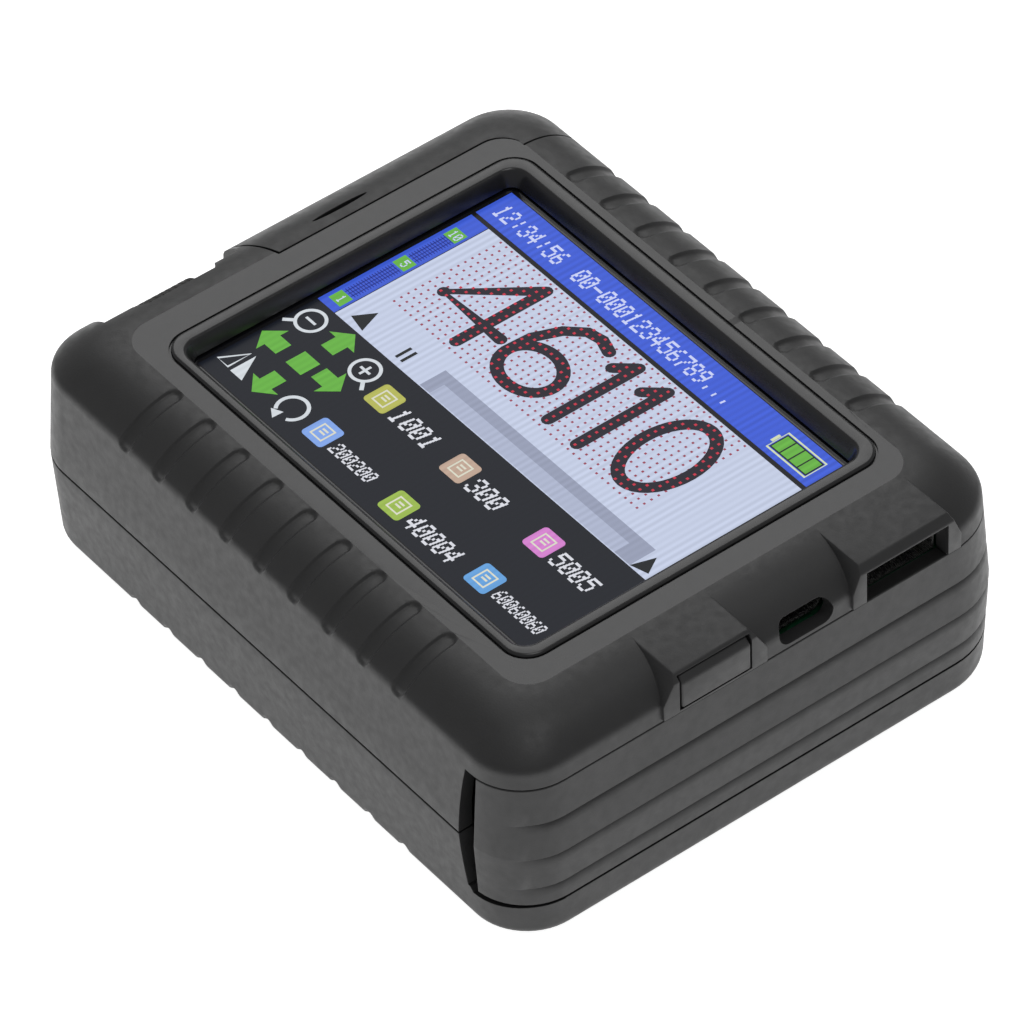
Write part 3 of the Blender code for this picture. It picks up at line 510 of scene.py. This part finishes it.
UPPER = shoulder_rows(0.0, 9.6, HEIGHT - SPLIT_Z - GAP / 2)
LOWER = shoulder_rows(0.4, 10.0, SPLIT_Z - GAP / 2)
CREASE_PATH = SHOULDER_RADIUS * math.acos((SHOULDER_RADIUS - CREASE_DROP) / SHOULDER_RADIUS)


def grip_stations():
    """x places along a long side, close together at the edges of each groove."""
    offsets = (-1.75, -1.28, -1.14, -1.0, -0.86, -0.5, 0.0, 0.5, 0.86, 1.0, 1.14, 1.28, 1.75)
    places = [x + offset for x in GROOVE_X for offset in offsets]
    places += [x + 3.67 for x in GROOVE_X[:-1]]
    return sorted(places)


STATIONS = grip_stations()


def grip_depth(x, path):
    """Depth of the grip grooves: channels with round ends and crisp edges, their floors slightly dished."""
    if abs(x) > GRIP_END_X:
        return 0.0
    nearest = min(GROOVE_X, key=lambda middle: abs(x - middle))
    along = min(max(path, GROOVE_HALF), CREASE_PATH + 0.9 - GROOVE_HALF)
    away = math.hypot(x - nearest, path - along)
    if away >= GROOVE_HALF:
        return 0.0
    edge = min((GROOVE_HALF - away) / GROOVE_EDGE, 1.0)
    return GROOVE_DEPTH * edge * edge * (3 - 2 * edge) + 0.1 * (1 - (away / GROOVE_HALF) ** 2)


def plain_depth(x, y, z, path):
    return 0.0


def skin_ring(row, level, depth_at, inset=0.0):
    """A ring of the housing at a row, with a depth taken off along the surface's own direction."""
    grown, z, out, up, path = row[0], level(row[1]), row[2], row[3], row[4]
    rise = 1 if level(0.0) > SPLIT_Z else -1
    pull = inset * out
    z -= inset * up * rise
    low = (TOP_LOW[0] - FAR_SHARE_X * grown + pull, TOP_LOW[1] - grown + pull)
    high = (TOP_HIGH[0] + grown - pull, TOP_HIGH[1] + FAR_SHARE_Y * grown - pull)
    middles, radii = [], []
    for corner in range(4):
        wide = HINGE_CORNER if corner == 0 else WALL_CORNER
        radius = max(TOP_CORNER + (wide - TOP_CORNER) * grown / SPLIT_SPREAD - pull, 1.0)
        radii.append(radius)
        middles.append((high[0] - radius if corner in (0, 3) else low[0] + radius,
                        high[1] - radius if corner in (0, 1) else low[1] + radius))
    points = []

    def add(x, y, side_x, side_y):
        depth = depth_at(x, y, z, path)
        points.append((x - side_x * out * depth, y - side_y * out * depth, z - up * rise * depth))

    for corner in range(4):
        middle, radius = middles[corner], radii[corner]
        for step in range(CORNER_STEPS + 1):
            angle = math.radians(90 * corner + 90 * step / CORNER_STEPS)
            turn = (math.cos(angle), math.sin(angle))
            add(middle[0] + radius * turn[0], middle[1] + radius * turn[1], *turn)
        if corner == 0:
            for place in STATIONS[::-1]:
                add(place, high[1], 0.0, 1.0)
        elif corner == 2:
            for place in STATIONS:
                add(place, low[1], 0.0, -1.0)
        else:
            start, end = middle[1], middles[(corner + 1) % 4][1]
            side_x, x = (-1.0, low[0]) if corner == 1 else (1.0, high[0])
            for step in range(1, 14):
                add(x, start + (end - start) * step / 14, side_x, 0.0)
    return points


def upper_level(drop):
    return HEIGHT - drop


def lower_level(drop):
    return drop


def grip(x, y, z, path):
    return grip_depth(x, path)


def inner_rings(low, high):
    """The housing's inside between two heights, as rings a wall's thickness in."""
    rings = [skin_ring(row, lower_level, plain_depth, WALL) for row in LOWER[1:-3:3]]
    rings += [skin_ring(row, upper_level, plain_depth, WALL) for row in UPPER[-4:0:-3]]
    kept = []
    for ring in rings:
        if low < ring[0][2] < high and (not kept or ring[0][2] > kept[-1][0][2] + 0.02):
            kept.append(ring)
    first = [(x, y, low) for x, y, _ in kept[0]]
    last = [(x, y, high) for x, y, _ in kept[-1]]
    return [first, *kept, last]


def door_depth(x, y, z, path):
    """The door's three lines: a sharp lip above each, running out into the slat below."""
    fade = min(max((y + 42.0) / 4.5, 0.0), 1.0) if x > 0 else 0.0
    depth = 0.0
    for middle in DOOR_GROOVES_Z:
        below = middle - z
        if -0.2 < below <= 0.0:
            depth = max(depth, 0.62 * (1 + below / 0.2))
        elif 0.0 < below < 1.5:
            depth = max(depth, 0.62 * (1 - below / 1.5) ** 2.2)
    return depth * fade


def door_rings():
    """Rings of the door's outside, close together at its lines."""
    levels = {DOOR_Z[0], DOOR_Z[1]}
    for middle in DOOR_GROOVES_Z:
        levels |= {middle + ahead for ahead in (0.2, 0.1, 0.0, -0.12, -0.3, -0.55, -0.85, -1.2, -1.5, -2.4)}
    levels |= {26.0, 28.0, DOOR_Z[1] - 0.12, DOOR_Z[0] + 0.12}
    rings = []
    for z in sorted(levels):
        share = (z - SPLIT_Z) / (HEIGHT - CREASE_DROP - SPLIT_Z) if z > SPLIT_Z else (SPLIT_Z - z) / 13.9
        spread = SPLIT_SPREAD - share * (1.0 if z > SPLIT_Z else 0.6)
        pull = 0.12 if z in (DOOR_Z[0], DOOR_Z[1]) else 0.0
        rings.append(skin_ring((spread - pull, z, 1.0, 0.0, 0.0), lower_level, door_depth))
    return rings


def door_gap():
    """The opening that the door closes, bowed at its -Y end as the finger slot, and a crescent under its edge."""
    low, high = DOOR_Z[0] - GAP, DOOR_Z[1] + 0.21
    middle = (low + high) / 2
    bow = []
    for step in range(17):
        z = high + (low - high) * step / 16
        bow.append((SLOT_X - 1.0 * (1 - ((z - middle) / (high - middle)) ** 2), z))
    near = prism([(60.0, low), (60.0, high), *bow], "y", -60.0, 10.0)
    far = box((40.9, 5.0, low), (60.0, 60.0, high))
    under = [(SLOT_X, low + 0.5), (60.0, low + 0.5), (60.0, low), (52.0, low - 0.1), (48.0, low - 0.5),
             (44.6, low - 0.7)]
    crescent = prism(under, "y", -60.0, -36.0)
    return near, far, crescent


def cover_outline(grow):
    """Plan of the end cover's area: along the flat top's edge, then round its corner."""
    x, wrap = COVER_TOP_X + grow, -39.0 + grow
    corner_y = TOP_HIGH[1] - TOP_CORNER
    arc = []
    for step in range(9):
        angle = math.radians(180 - 72 * step / 8)
        arc.append((x + TOP_CORNER + TOP_CORNER * math.cos(angle), corner_y + TOP_CORNER * math.sin(angle)))
    tail = [(wrap, arc[-1][1]), (wrap, 60.0), (-60.0, 60.0)]
    arc = [point for point in arc if point[0] < wrap - 0.2]
    edge = [(-60.0, -9.9 - grow), (-49.0, -9.9 - grow), (x, -7.7 - grow)]
    return [*edge, *arc, *tail]


def hood(y, top_half, slope):
    """A flat-topped block that fills out the shoulder round a port or the button, with sloped cheeks."""
    outline = []
    for sign in (1, -1):
        side = [(y + sign * top_half, HEIGHT - 0.02), (y + sign * (top_half + slope), HEIGHT - CREASE_DROP),
                (y + sign * (top_half + slope), 29.95)]
        outline += side if sign > 0 else side[::-1]
    block = prism(outline, "x", TOP_HIGH[0] - 1.0, 53.4)
    front = [edge for edge in block.edges
             if all(v.co.x > 53.3 * MM and v.co.z > (HEIGHT - 0.1) * MM for v in edge.verts)]
    bmesh.ops.bevel(block, geom=front, offset=1.0 * MM, segments=1, affect="EDGES")
    return soften(block, 0.18)


def insert_mouth():
    """The opening of the print face, deeper over the middle of the print face."""
    low_y, high_y = INSERT_Y[0] - GAP, INSERT_Y[1] + GAP
    outline = [(-60.0, low_y), (-47.7, low_y), (-47.7, -28.6), (-46.5, -26.6), (-46.5, -15.6), (-47.7, -15.0),
               (-47.7, high_y), (-60.0, high_y)]
    return prism(outline, "z", 3.0, HEIGHT + 1.0)


def shell_tools():
    near, far, crescent = door_gap()
    return [("cut", near), ("cut", far), ("cut", crescent), ("cut", insert_mouth()),
            ("cut", prism(cover_outline(GAP), "z", 2.1, 40.0))]


def top_shell(looks):
    skin = loft([skin_ring(row, upper_level, grip) for row in UPPER[::-1]])
    steps = [("join", hood(BUTTON_Y, 6.2, 2.3)), ("join", hood(USB_A_Y, 7.5, 1.6))]
    steps.append(("cut", loft(inner_rings(12.0, 34.3))))
    trench = (BEAD_HALF[0] + 0.3, BEAD_HALF[1] + 0.3)
    floor_z = HEIGHT - 0.3
    moat = [window_ring(trench, BEAD_CORNER + 0.3, z, BEAD_CENTRE) for z in (floor_z, 40.0)]
    steps.append(("cut", loft(moat)))
    bead = [window_ring(BEAD_HALF, BEAD_CORNER, HEIGHT - 0.8, BEAD_CENTRE)]
    for turn in range(5):
        angle = math.radians(22.5 * turn)
        back = 0.45 * (1 - math.cos(angle))
        half = (BEAD_HALF[0] - back, BEAD_HALF[1] - back)
        bead.append(window_ring(half, BEAD_CORNER - back, HEIGHT - 0.15 + 0.45 * math.sin(angle), BEAD_CENTRE))
    steps.append(("join", loft(bead)))
    window = [window_ring(half, radius, z, WINDOW_CENTRE) for half, radius, z in WINDOW_RINGS]
    steps.append(("cut", loft(window)))
    steps += shell_tools()
    steps.append(("cut", box((49.2, BUTTON_Y - 5.9, 30.4), (56.0, BUTTON_Y + 5.9, 36.1))))
    steps.append(("cut", box((39.2, USB_A_Y - 6.85, 29.6), (56.0, USB_A_Y + 6.85, 35.25))))
    slot = [(USB_C_Y + y, USB_C_Z + z) for y, z in stadium(8.9, 3.4)]
    steps.append(("cut", prism(slot, "x", USB_C_MOUTH_X + 0.2, 56.0)))
    steps.append(("cut", box((42.0, USB_C_Y - 4.77, 29.1), (USB_C_MOUTH_X + GAP, USB_C_Y + 4.77, 33.88))))
    steps.append(("join", rod((*HINGE_XY, 29.81), (*HINGE_XY, 31.5), 1.45)))
    steps.append(("cut", rod((*HINGE_XY, 28.8), (*HINGE_XY, 31.2), 0.8)))
    obj = carve("top_shell_moulding", skin, steps)
    piece(obj, "root", [looks["shell"], looks["gloss"]], ["top_shell"])
    limit = (BEAD_HALF[0] + 0.02, BEAD_HALF[1] + 0.02)
    for face in obj.data.polygons:
        x, y, z = face.center / MM - OFFSET
        inside = abs(x - BEAD_CENTRE[0]) < limit[0] and abs(y - BEAD_CENTRE[1]) < limit[1]
        face.material_index = 1 if inside and z > 34.2 else 0


def bottom_shell(looks):
    skin = loft([skin_ring(row, lower_level, grip) for row in LOWER])
    steps = [("cut", loft(inner_rings(2.0, 25.0)))]
    for x, y in SHELL_SCREWS:
        steps.append(("join", rod((x, y, 1.6), (x, y, 5.4), 3.3)))
        steps.append(("cut", rod((x, y, -3.0), (x, y, 3.2), 2.5)))
    steps += shell_tools()
    steps.append(("join", rod((*HINGE_XY, 7.2), (*HINGE_XY, 8.9), 1.45)))
    steps.append(("cut", rod((*HINGE_XY, 7.5), (*HINGE_XY, 9.9), 0.8)))
    obj = carve("bottom_shell_moulding", skin, steps)
    piece(obj, "root", [looks["shell"]], ["bottom_shell"])


def cartridge_door(looks):
    outline = [(DOOR_END_X, -60.0), (60.0, -60.0), (60.0, 60.0), (HINGE_XY[0], 60.0)]
    arc = []
    for step in range(19):
        angle = math.radians(90 + 180 * step / 18)
        reach = HINGE_BARREL + 0.01
        arc.append((HINGE_XY[0] + reach * math.cos(angle), HINGE_XY[1] + reach * math.sin(angle)))
    region = prism([*outline, *arc, (DOOR_END_X, HINGE_XY[1] - HINGE_BARREL - 0.01)], "z", 0.0, 40.0)
    steps = [("cut", loft(inner_rings(5.0, 32.0))),
             ("join", rod((*HINGE_XY, DOOR_Z[0]), (*HINGE_XY, DOOR_Z[1]), HINGE_BARREL, 48)),
             ("keep", region),
             ("cut", rod((*HINGE_XY, 0.0), (*HINGE_XY, 40.0), 0.8))]
    obj = carve("cartridge_door_moulding", loft(door_rings()), steps)
    piece(obj, "door", [looks["shell"]], ["cartridge_door"])


def end_cover(looks):
    rings = [skin_ring(row, lower_level, plain_depth) for row in LOWER[:-3]]
    rings += [skin_ring(row, upper_level, plain_depth) for row in UPPER[-4::-1]]
    lens = []
    for step in range(25):
        angle = math.radians(15 * step)
        lens.append((-45.05 + 0.42 * math.sin(angle), 4.05 + 4.6 * math.cos(angle)))
    steps = [("cut", loft(inner_rings(1.0, 35.0))), ("keep", prism(cover_outline(0.0), "z", 2.4, 40.0)),
             ("cut", prism(lens[:-1], "z", 35.2, 40.0))]
    obj = carve("end_cover_moulding", loft(rings), steps)
    piece(obj, "cover", [looks["shell"]], ["end_cover"])


def power_button(looks):
    """The button's cap, with a chamfered upper edge and rounded corners, and its stem."""
    profile = [(50.3, 30.7), (53.6, 30.7), (53.6, 34.9), (52.7, 35.8), (50.3, 35.8)]
    cap = soften(prism(profile, "y", BUTTON_Y - 5.6, BUTTON_Y + 5.6), 0.32, 3)
    steps = [("join", box((50.2, BUTTON_Y - 1.5, 30.95), (51.0, BUTTON_Y + 1.5, 32.2)))]
    piece(carve("power_button_cap", cap, steps), "button", [looks["shell"]], ["power_button"])


def ring_solid(centre_x, centre_z, loop, segments=64):
    """A closed loop of (y, radius) turned about an axis along Y."""
    work = bmesh.new()
    rows = []
    for step in range(segments):
        angle = 2 * math.pi * step / segments
        turn = (math.cos(angle), math.sin(angle))
        rows.append([work.verts.new(Vector((centre_x + r * turn[0], y, centre_z + r * turn[1])) * MM)
                     for y, r in loop])
    for one, two in zip(rows, rows[1:] + rows[:1]):
        for i in range(len(loop)):
            j = (i + 1) % len(loop)
            work.faces.new((one[i], one[j], two[j], two[i]))
    return work


def rollers(looks):
    """Rubber tyres with rounded shoulders and fine traction rings, each on a white hub."""
    low, high = INSERT_Y[0] + 2.0, INSERT_Y[1] - 5.4
    for name, z in ROLLER_Z.items():
        top = [(low + 0.35, ROLLER_RADIUS - 0.05), (low + 0.1, ROLLER_RADIUS - 0.2),
               (low, ROLLER_RADIUS - 0.5)]
        loop = [(low, 2.1), (high, 2.1), (high, ROLLER_RADIUS - 0.5), (high - 0.1, ROLLER_RADIUS - 0.2),
                (high - 0.35, ROLLER_RADIUS - 0.05)]
        rings = 12
        for index in range(rings):
            middle = high - 0.6 - (high - low - 1.2) * (index + 0.5) / rings
            loop += [(middle + 0.25, ROLLER_RADIUS), (middle + 0.12, ROLLER_RADIUS - 0.12),
                     (middle - 0.12, ROLLER_RADIUS - 0.12), (middle - 0.25, ROLLER_RADIUS)]
        tyre = as_object(f"{name}_tyre", ring_solid(ROLLER_X, z, loop + top))
        piece(tyre, name, [looks["rubber"]], [f"{name}_roller"])
        hub_loop = [(low + 0.15, 1.1), (high - 0.15, 1.1), (high - 0.05, 1.25), (high - 0.05, 1.9),
                    (high - 0.15, 2.08), (low + 0.15, 2.08), (low + 0.05, 1.9), (low + 0.05, 1.25)]
        hub = as_object(f"{name}_hub", ring_solid(ROLLER_X, z, hub_loop))
        piece(hub, name, [looks["white"]])


# Display picture: flat shapes in thin layers on the touch panel, in panel shares (u along +X, v towards -Y).

def at(u, v):
    return PANEL_CORNER[0] + PANEL_SIZE[0] * u, PANEL_CORNER[1] - PANEL_SIZE[1] * v


def area(u0, v0, u1, v1):
    (x0, y0), (x1, y1) = at(u0, v0), at(u1, v1)
    return [(x0, y0), (x0, y1), (x1, y1), (x1, y0)]


def tile(x, y, wide, high):
    return [(x, y), (x, y - high), (x + wide, y - high), (x + wide, y)]


def ribbon(points, width, closed=False):
    """Quads along a line of points, as wide as a pen."""
    count = len(points)
    sides = []
    for index, point in enumerate(points):
        before = points[index - 1] if closed or index else point
        after = points[(index + 1) % count] if closed or index < count - 1 else point
        run = Vector((after[0] - before[0], after[1] - before[1])).normalized()
        side = Vector((-run.y, run.x)) * width / 2
        sides.append(((point[0] + side.x, point[1] + side.y), (point[0] - side.x, point[1] - side.y)))
    pairs = list(zip(sides, sides[1:] + sides[:1])) if closed else list(zip(sides, sides[1:]))
    return [[one[0], one[1], two[1], two[0]] for one, two in pairs]


def oval(x, y, wide, high, first=0.0, last=360.0, steps=36):
    points = []
    for step in range(steps + (0 if last - first >= 360 else 1)):
        angle = math.radians(first + (last - first) * step / steps)
        points.append((x + wide * math.cos(angle), y + high * math.sin(angle)))
    return points


DIGITS = {
    "0": "01110 10001 10011 10101 11001 10001 01110", "1": "00100 01100 00100 00100 00100 00100 01110",
    "2": "01110 10001 00001 00110 01000 10000 11111", "3": "01110 10001 00001 00110 00001 10001 01110",
    "4": "00010 00110 01010 10010 11111 00010 00010", "5": "11111 10000 11110 00001 00001 10001 01110",
    "6": "00110 01000 10000 11110 10001 10001 01110", "7": "11111 00001 00010 00100 01000 01000 01000",
    "8": "01110 10001 10001 01110 10001 10001 01110", "9": "01110 10001 10001 01111 00001 00010 01100",
    ":": "00000 00100 00100 00000 00100 00100 00000", "-": "00000 00000 00000 11111 00000 00000 00000",
    ".": "00000 00000 00000 00000 00000 00100 00100",
}


def numerals(text, u, v, advance, high, slant=0.12):
    """Pixel numerals, starting at a panel place, with v at half their height."""
    x0, y0 = at(u, v)
    dot_high, dot_wide = high / 7, advance / 6
    shapes = []
    for place, sign in enumerate(text):
        for row, line in enumerate(DIGITS[sign].split()):
            for run in [run for run in range(5) if line[run] == "1"]:
                x = x0 + place * advance + run * dot_wide + slant * (3 - row) * dot_high
                shapes.append(tile(x, y0 + high / 2 - row * dot_high, dot_wide * 0.98, dot_high * 0.98))
    return shapes


def slab(name, shapes, level, look, rises=()):
    """Flat shapes as one thin layer of the display; shapes that overlap have different rises."""
    work = bmesh.new()
    low, high = GLASS_TOP + 0.02 * level + 0.002, GLASS_TOP + 0.02 * level + 0.02
    for index, outline in enumerate(shapes):
        top = high + (rises[index] if rises else 0.0)
        lower = [work.verts.new(Vector((x, y, low)) * MM) for x, y in outline]
        upper = [work.verts.new(Vector((x, y, top)) * MM) for x, y in outline]
        work.faces.new(lower[::-1])
        work.faces.new(upper)
        for i in range(len(outline)):
            j = (i + 1) % len(outline)
            work.faces.new((lower[i], lower[j], upper[j], upper[i]))
    piece(as_object(name, work), "root", [look])


def big_strokes():
    """Pen lines of the sample code, which the printer would print: plain numerals."""
    def line(*places):
        return [at(u, v) for u, v in places]

    top, foot = 0.165, 0.455
    six_x, six_y = at(0.415, 0.375)
    zero_x, zero_y = at(0.765, 0.31)
    bowl = oval(six_x, six_y, 4.9, 4.1)
    neck = [at(0.475, 0.185), at(0.44, 0.17), at(0.405, 0.18), at(0.372, 0.225), at(0.348, 0.30),
            at(0.345, 0.38)]
    return [
        (line((0.265, top), (0.265, foot)), False),
        (line((0.265, top), (0.14, 0.365), (0.315, 0.365)), False),
        (neck, False), (bowl, True),
        (line((0.545, top), (0.545, foot)), False), (line((0.512, 0.215), (0.545, top)), False),
        (line((0.632, top), (0.632, foot)), False), (line((0.599, 0.215), (0.632, top)), False),
        (oval(zero_x, zero_y, 4.7, 7.4), True),
    ]


def near_stroke(x, y, strokes, reach):
    for points, closed in strokes:
        ends = points[1:] + (points[:1] if closed else [])
        for one, two in zip(points, ends):
            run = Vector(two) - Vector(one)
            share = (Vector((x, y)) - Vector(one)).dot(run) / run.length_squared
            if (Vector((x, y)) - Vector(one) - run * min(max(share, 0.0), 1.0)).length < reach:
                return True
    return False


def print_sample():
    """The code on the canvas: grid dots, pen strokes, and the brighter dots on them."""
    strokes = big_strokes()
    plain, bright = [], []
    x0, y0 = at(0.10, 0.14)
    for row in range(16):
        for column in range(44):
            x, y = x0 + 1.2 * column, y0 - 1.2 * row
            if near_stroke(x, y, strokes, 0.85):
                bright.append(tile(x - 0.19, y + 0.19, 0.38, 0.38))
            else:
                plain.append(tile(x - 0.17, y + 0.17, 0.34, 0.34))
    slab("ui_grid_dots", plain, 1, lit("ui_dot_red", linear(150, 62, 82), 0.05))
    inked, rises = [], []
    for index, (points, closed) in enumerate(strokes):
        quads = ribbon(points, 1.9, closed)
        discs = [] if closed else [oval(*point, 0.95, 0.95, steps=12) for point in points]
        inked += quads + discs
        rises += [0.0018 * index] * len(quads) + [0.0018 * index + 0.0009] * len(discs)
    slab("ui_pen_strokes", inked, 2, lit("ui_stroke_ink", linear(30, 27, 40), 0.05), rises)
    slab("ui_stroke_dots", bright, 3, lit("ui_bright_red", linear(196, 44, 66), 0.05))


def arrow(u, v, turn):
    """A block arrow about a place, turned from pointing along +U."""
    x0, y0 = at(u, v)
    shape = [(2.55, 0.0), (0.25, 2.7), (0.25, 1.3), (-2.2, 1.3), (-2.2, -1.3), (0.25, -1.3), (0.25, -2.7)]
    cos, sin = math.cos(math.radians(turn)), math.sin(math.radians(turn))
    return [(x0 + a * cos - b * sin, y0 + a * sin + b * cos) for a, b in shape]


def menu_signs():
    """White line signs: two magnifiers, a mirror and a turn sign."""
    shapes = []
    for u, v, side in ((0.042, 0.689, -1), (0.218, 0.695, 1)):
        x, y = at(u, v)
        shapes += ribbon(oval(x, y, 2.1, 2.1), 0.5, True)
        shapes += ribbon([(x + side * 1.5, y - 1.5), (x + side * 2.7, y - 2.7)], 0.6)
        shapes += ribbon([(x - 1.0, y), (x + 1.0, y)], 0.4)
        if side > 0:
            shapes += ribbon([(x, y - 1.0), (x, y + 1.0)], 0.4)
    x, y = at(0.049, 0.919)
    shapes.append([(x + 0.35, y + 2.4), (x + 0.35, y - 1.9), (x + 2.9, y - 1.9)])
    left = [(x - 0.45, y + 2.1), (x - 0.45, y - 1.7), (x - 2.7, y - 1.7)]
    shapes += ribbon(left, 0.35, True)
    x, y = at(0.213, 0.919)
    shapes += ribbon(oval(x, y, 2.2, 2.2, -60, 230), 0.55)
    shapes.append([(x - 0.2, y - 1.3), (x - 0.3, y - 3.1), (x - 1.9, y - 2.1)])
    return shapes


ICONS = (
    ("yellow", (0.304, 0.721), (176, 178, 84), "1001", 2.15, 3.1),
    ("blue", (0.302, 0.913), (124, 160, 226), "200200", 1.42, 2.2),
    ("tan", (0.544, 0.730), (186, 160, 142), "300", 2.15, 3.1),
    ("green", (0.549, 0.927), (150, 180, 74), "40004", 2.0, 3.0),
    ("pink", (0.798, 0.734), (206, 124, 200), "5005", 2.0, 2.9),
    ("cyan", (0.803, 0.922), (96, 156, 214), "60060060", 1.18, 2.1),
)


def menu_icons():
    """Plain tiles with a lighter bar sign, each with its numerals."""
    labels, signs = [], []
    for name, (u, v), colour, text, advance, high in ICONS:
        x, y = at(u, v)
        slab(f"ui_icon_{name}", [rounded_outline((2.15, 2.15), 0.6, (x, y), 4)], 1,
             lit(f"ui_{name}", linear(*colour), 0.06))
        frame_line = [(x - 1.1, y - 1.2), (x - 1.1, y + 1.2), (x + 1.1, y + 1.2), (x + 1.1, y - 1.2)]
        signs += ribbon(frame_line, 0.35, True)
        signs.append(tile(x - 0.55, y + 0.6, 1.1, 0.3))
        signs.append(tile(x - 0.55, y + 0.0, 1.1, 0.3))
        labels += numerals(text, u + 0.043, v + 0.008, advance, high, 0.2)
    slab("ui_icon_signs", signs, 2, lit("ui_sign_pale", linear(214, 214, 196), 0.05))
    slab("ui_menu_numerals", labels, 1, lit("ui_numeral_white", linear(214, 216, 224), 0.05))


def display():
    slab("ui_backing", [area(-0.002, -0.003, 1.002, 1.003)], 0, lit("ui_black", linear(14, 14, 20), 0.05))
    menu = lit("ui_menu_navy", linear(17, 21, 31), 0.05)
    slab("ui_menu", [area(0.0, 0.627, 1.0, 1.0)], 0.2, menu)
    bars = [area(0.0, 0.0, 1.0, 0.117), area(0.0, 0.131, 0.052, 0.625)]
    slab("ui_bars", bars, 0.3, lit("ui_bar_blue", linear(56, 88, 206), 0.13))
    canvas = lit("ui_canvas_pale", linear(190, 199, 222), 0.09)
    slab("ui_canvas", [area(0.054, 0.131, 1.0, 0.625)], 0.3, canvas)
    ticks = []
    for step in range(44):
        v = 0.225 + 0.0085 * step
        if not any(abs(v - tag) < 0.026 for tag in (0.376, 0.58)):
            ticks.append(area(0.012, v, 0.044, v + 0.0028))
    for u in (0.018, 0.027, 0.036):
        ticks += [area(u, 0.236, u + 0.0022, 0.352), area(u, 0.402, u + 0.0022, 0.556)]
    slab("ui_ruler_ticks", ticks, 1, lit("ui_tick_blue", linear(28, 46, 140), 0.1))
    tags = [area(0.010, v - 0.021, 0.046, v + 0.021) for v in (0.212, 0.376, 0.58)]
    tags += [arrow(0.041, 0.806, 180), arrow(0.127, 0.682, 90), arrow(0.127, 0.912, 270),
             arrow(0.198, 0.789, 0)]
    tags += [area(0.103, 0.768, 0.150, 0.830)]
    tags += [area(0.868 + 0.0255 * cell, 0.036, 0.890 + 0.0255 * cell, 0.089) for cell in range(4)]
    slab("ui_green_signs", tags, 1.6, lit("ui_green", linear(98, 172, 62), 0.1))
    battery = ribbon(area(0.862, 0.027, 0.972, 0.098), 0.3, True) + [area(0.853, 0.048, 0.860, 0.077)]
    slab("ui_battery_outline", battery, 1, lit("ui_pale_yellow", linear(206, 216, 176), 0.05))
    marks = [area(0.865, 0.032, 0.970, 0.093)]
    marks.append([at(0.080, 0.600), at(0.107, 0.540), at(0.127, 0.612)])
    marks.append([at(0.985, 0.606), at(0.945, 0.622), at(0.962, 0.555)])
    marks += [area(0.222, 0.556, 0.229, 0.606), area(0.238, 0.556, 0.245, 0.606)]
    marks.append([at(0.117, 0.780), at(0.117, 0.818), at(0.140, 0.799)])
    slab("ui_dark_marks", marks, 1, lit("ui_mark_black", linear(22, 26, 30), 0.05))
    track = lit("ui_track_grey", linear(146, 153, 176), 0.07)
    slab("ui_scroll_track", [area(0.315, 0.540, 0.945, 0.622)], 0.8, track)
    knob = lit("ui_knob_grey", linear(168, 176, 200), 0.07)
    slab("ui_scroll_knob", [area(0.345, 0.575, 0.900, 0.622)], 1, knob)
    titles = numerals("12:34:56", 0.022, 0.062, 1.76, 2.9)
    titles += numerals("00-000123456789...", 0.262, 0.062, 1.84, 2.9)
    titles += numerals("10", 0.016, 0.212, 1.0, 1.5, 0) + numerals("5", 0.024, 0.376, 1.0, 1.5, 0)
    titles += numerals("1", 0.024, 0.58, 1.0, 1.5, 0)
    slab("ui_bar_numerals", titles, 2, lit("ui_title_white", linear(196, 204, 240), 0.05))
    slab("ui_menu_signs", menu_signs(), 1, lit("ui_sign_white", linear(206, 212, 218), 0.05))
    print_sample()
    menu_icons()


def carry_over(looks):
    """Materials of the CAD nodes that stay."""
    for name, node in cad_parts.items():
        if node.hide_render:
            continue
        if name.startswith(("shell_screw", "board_screw")):
            look = looks["screw"]
        else:
            look = looks[CAD_LOOKS[name]]
        node.data.materials.clear()
        node.data.materials.append(look.made)


def build():
    camera()
    studio()
    looks = materials()
    top_shell(looks)
    bottom_shell(looks)
    cartridge_door(looks)
    end_cover(looks)
    power_button(looks)
    rollers(looks)
    display()
    carry_over(looks)


build()
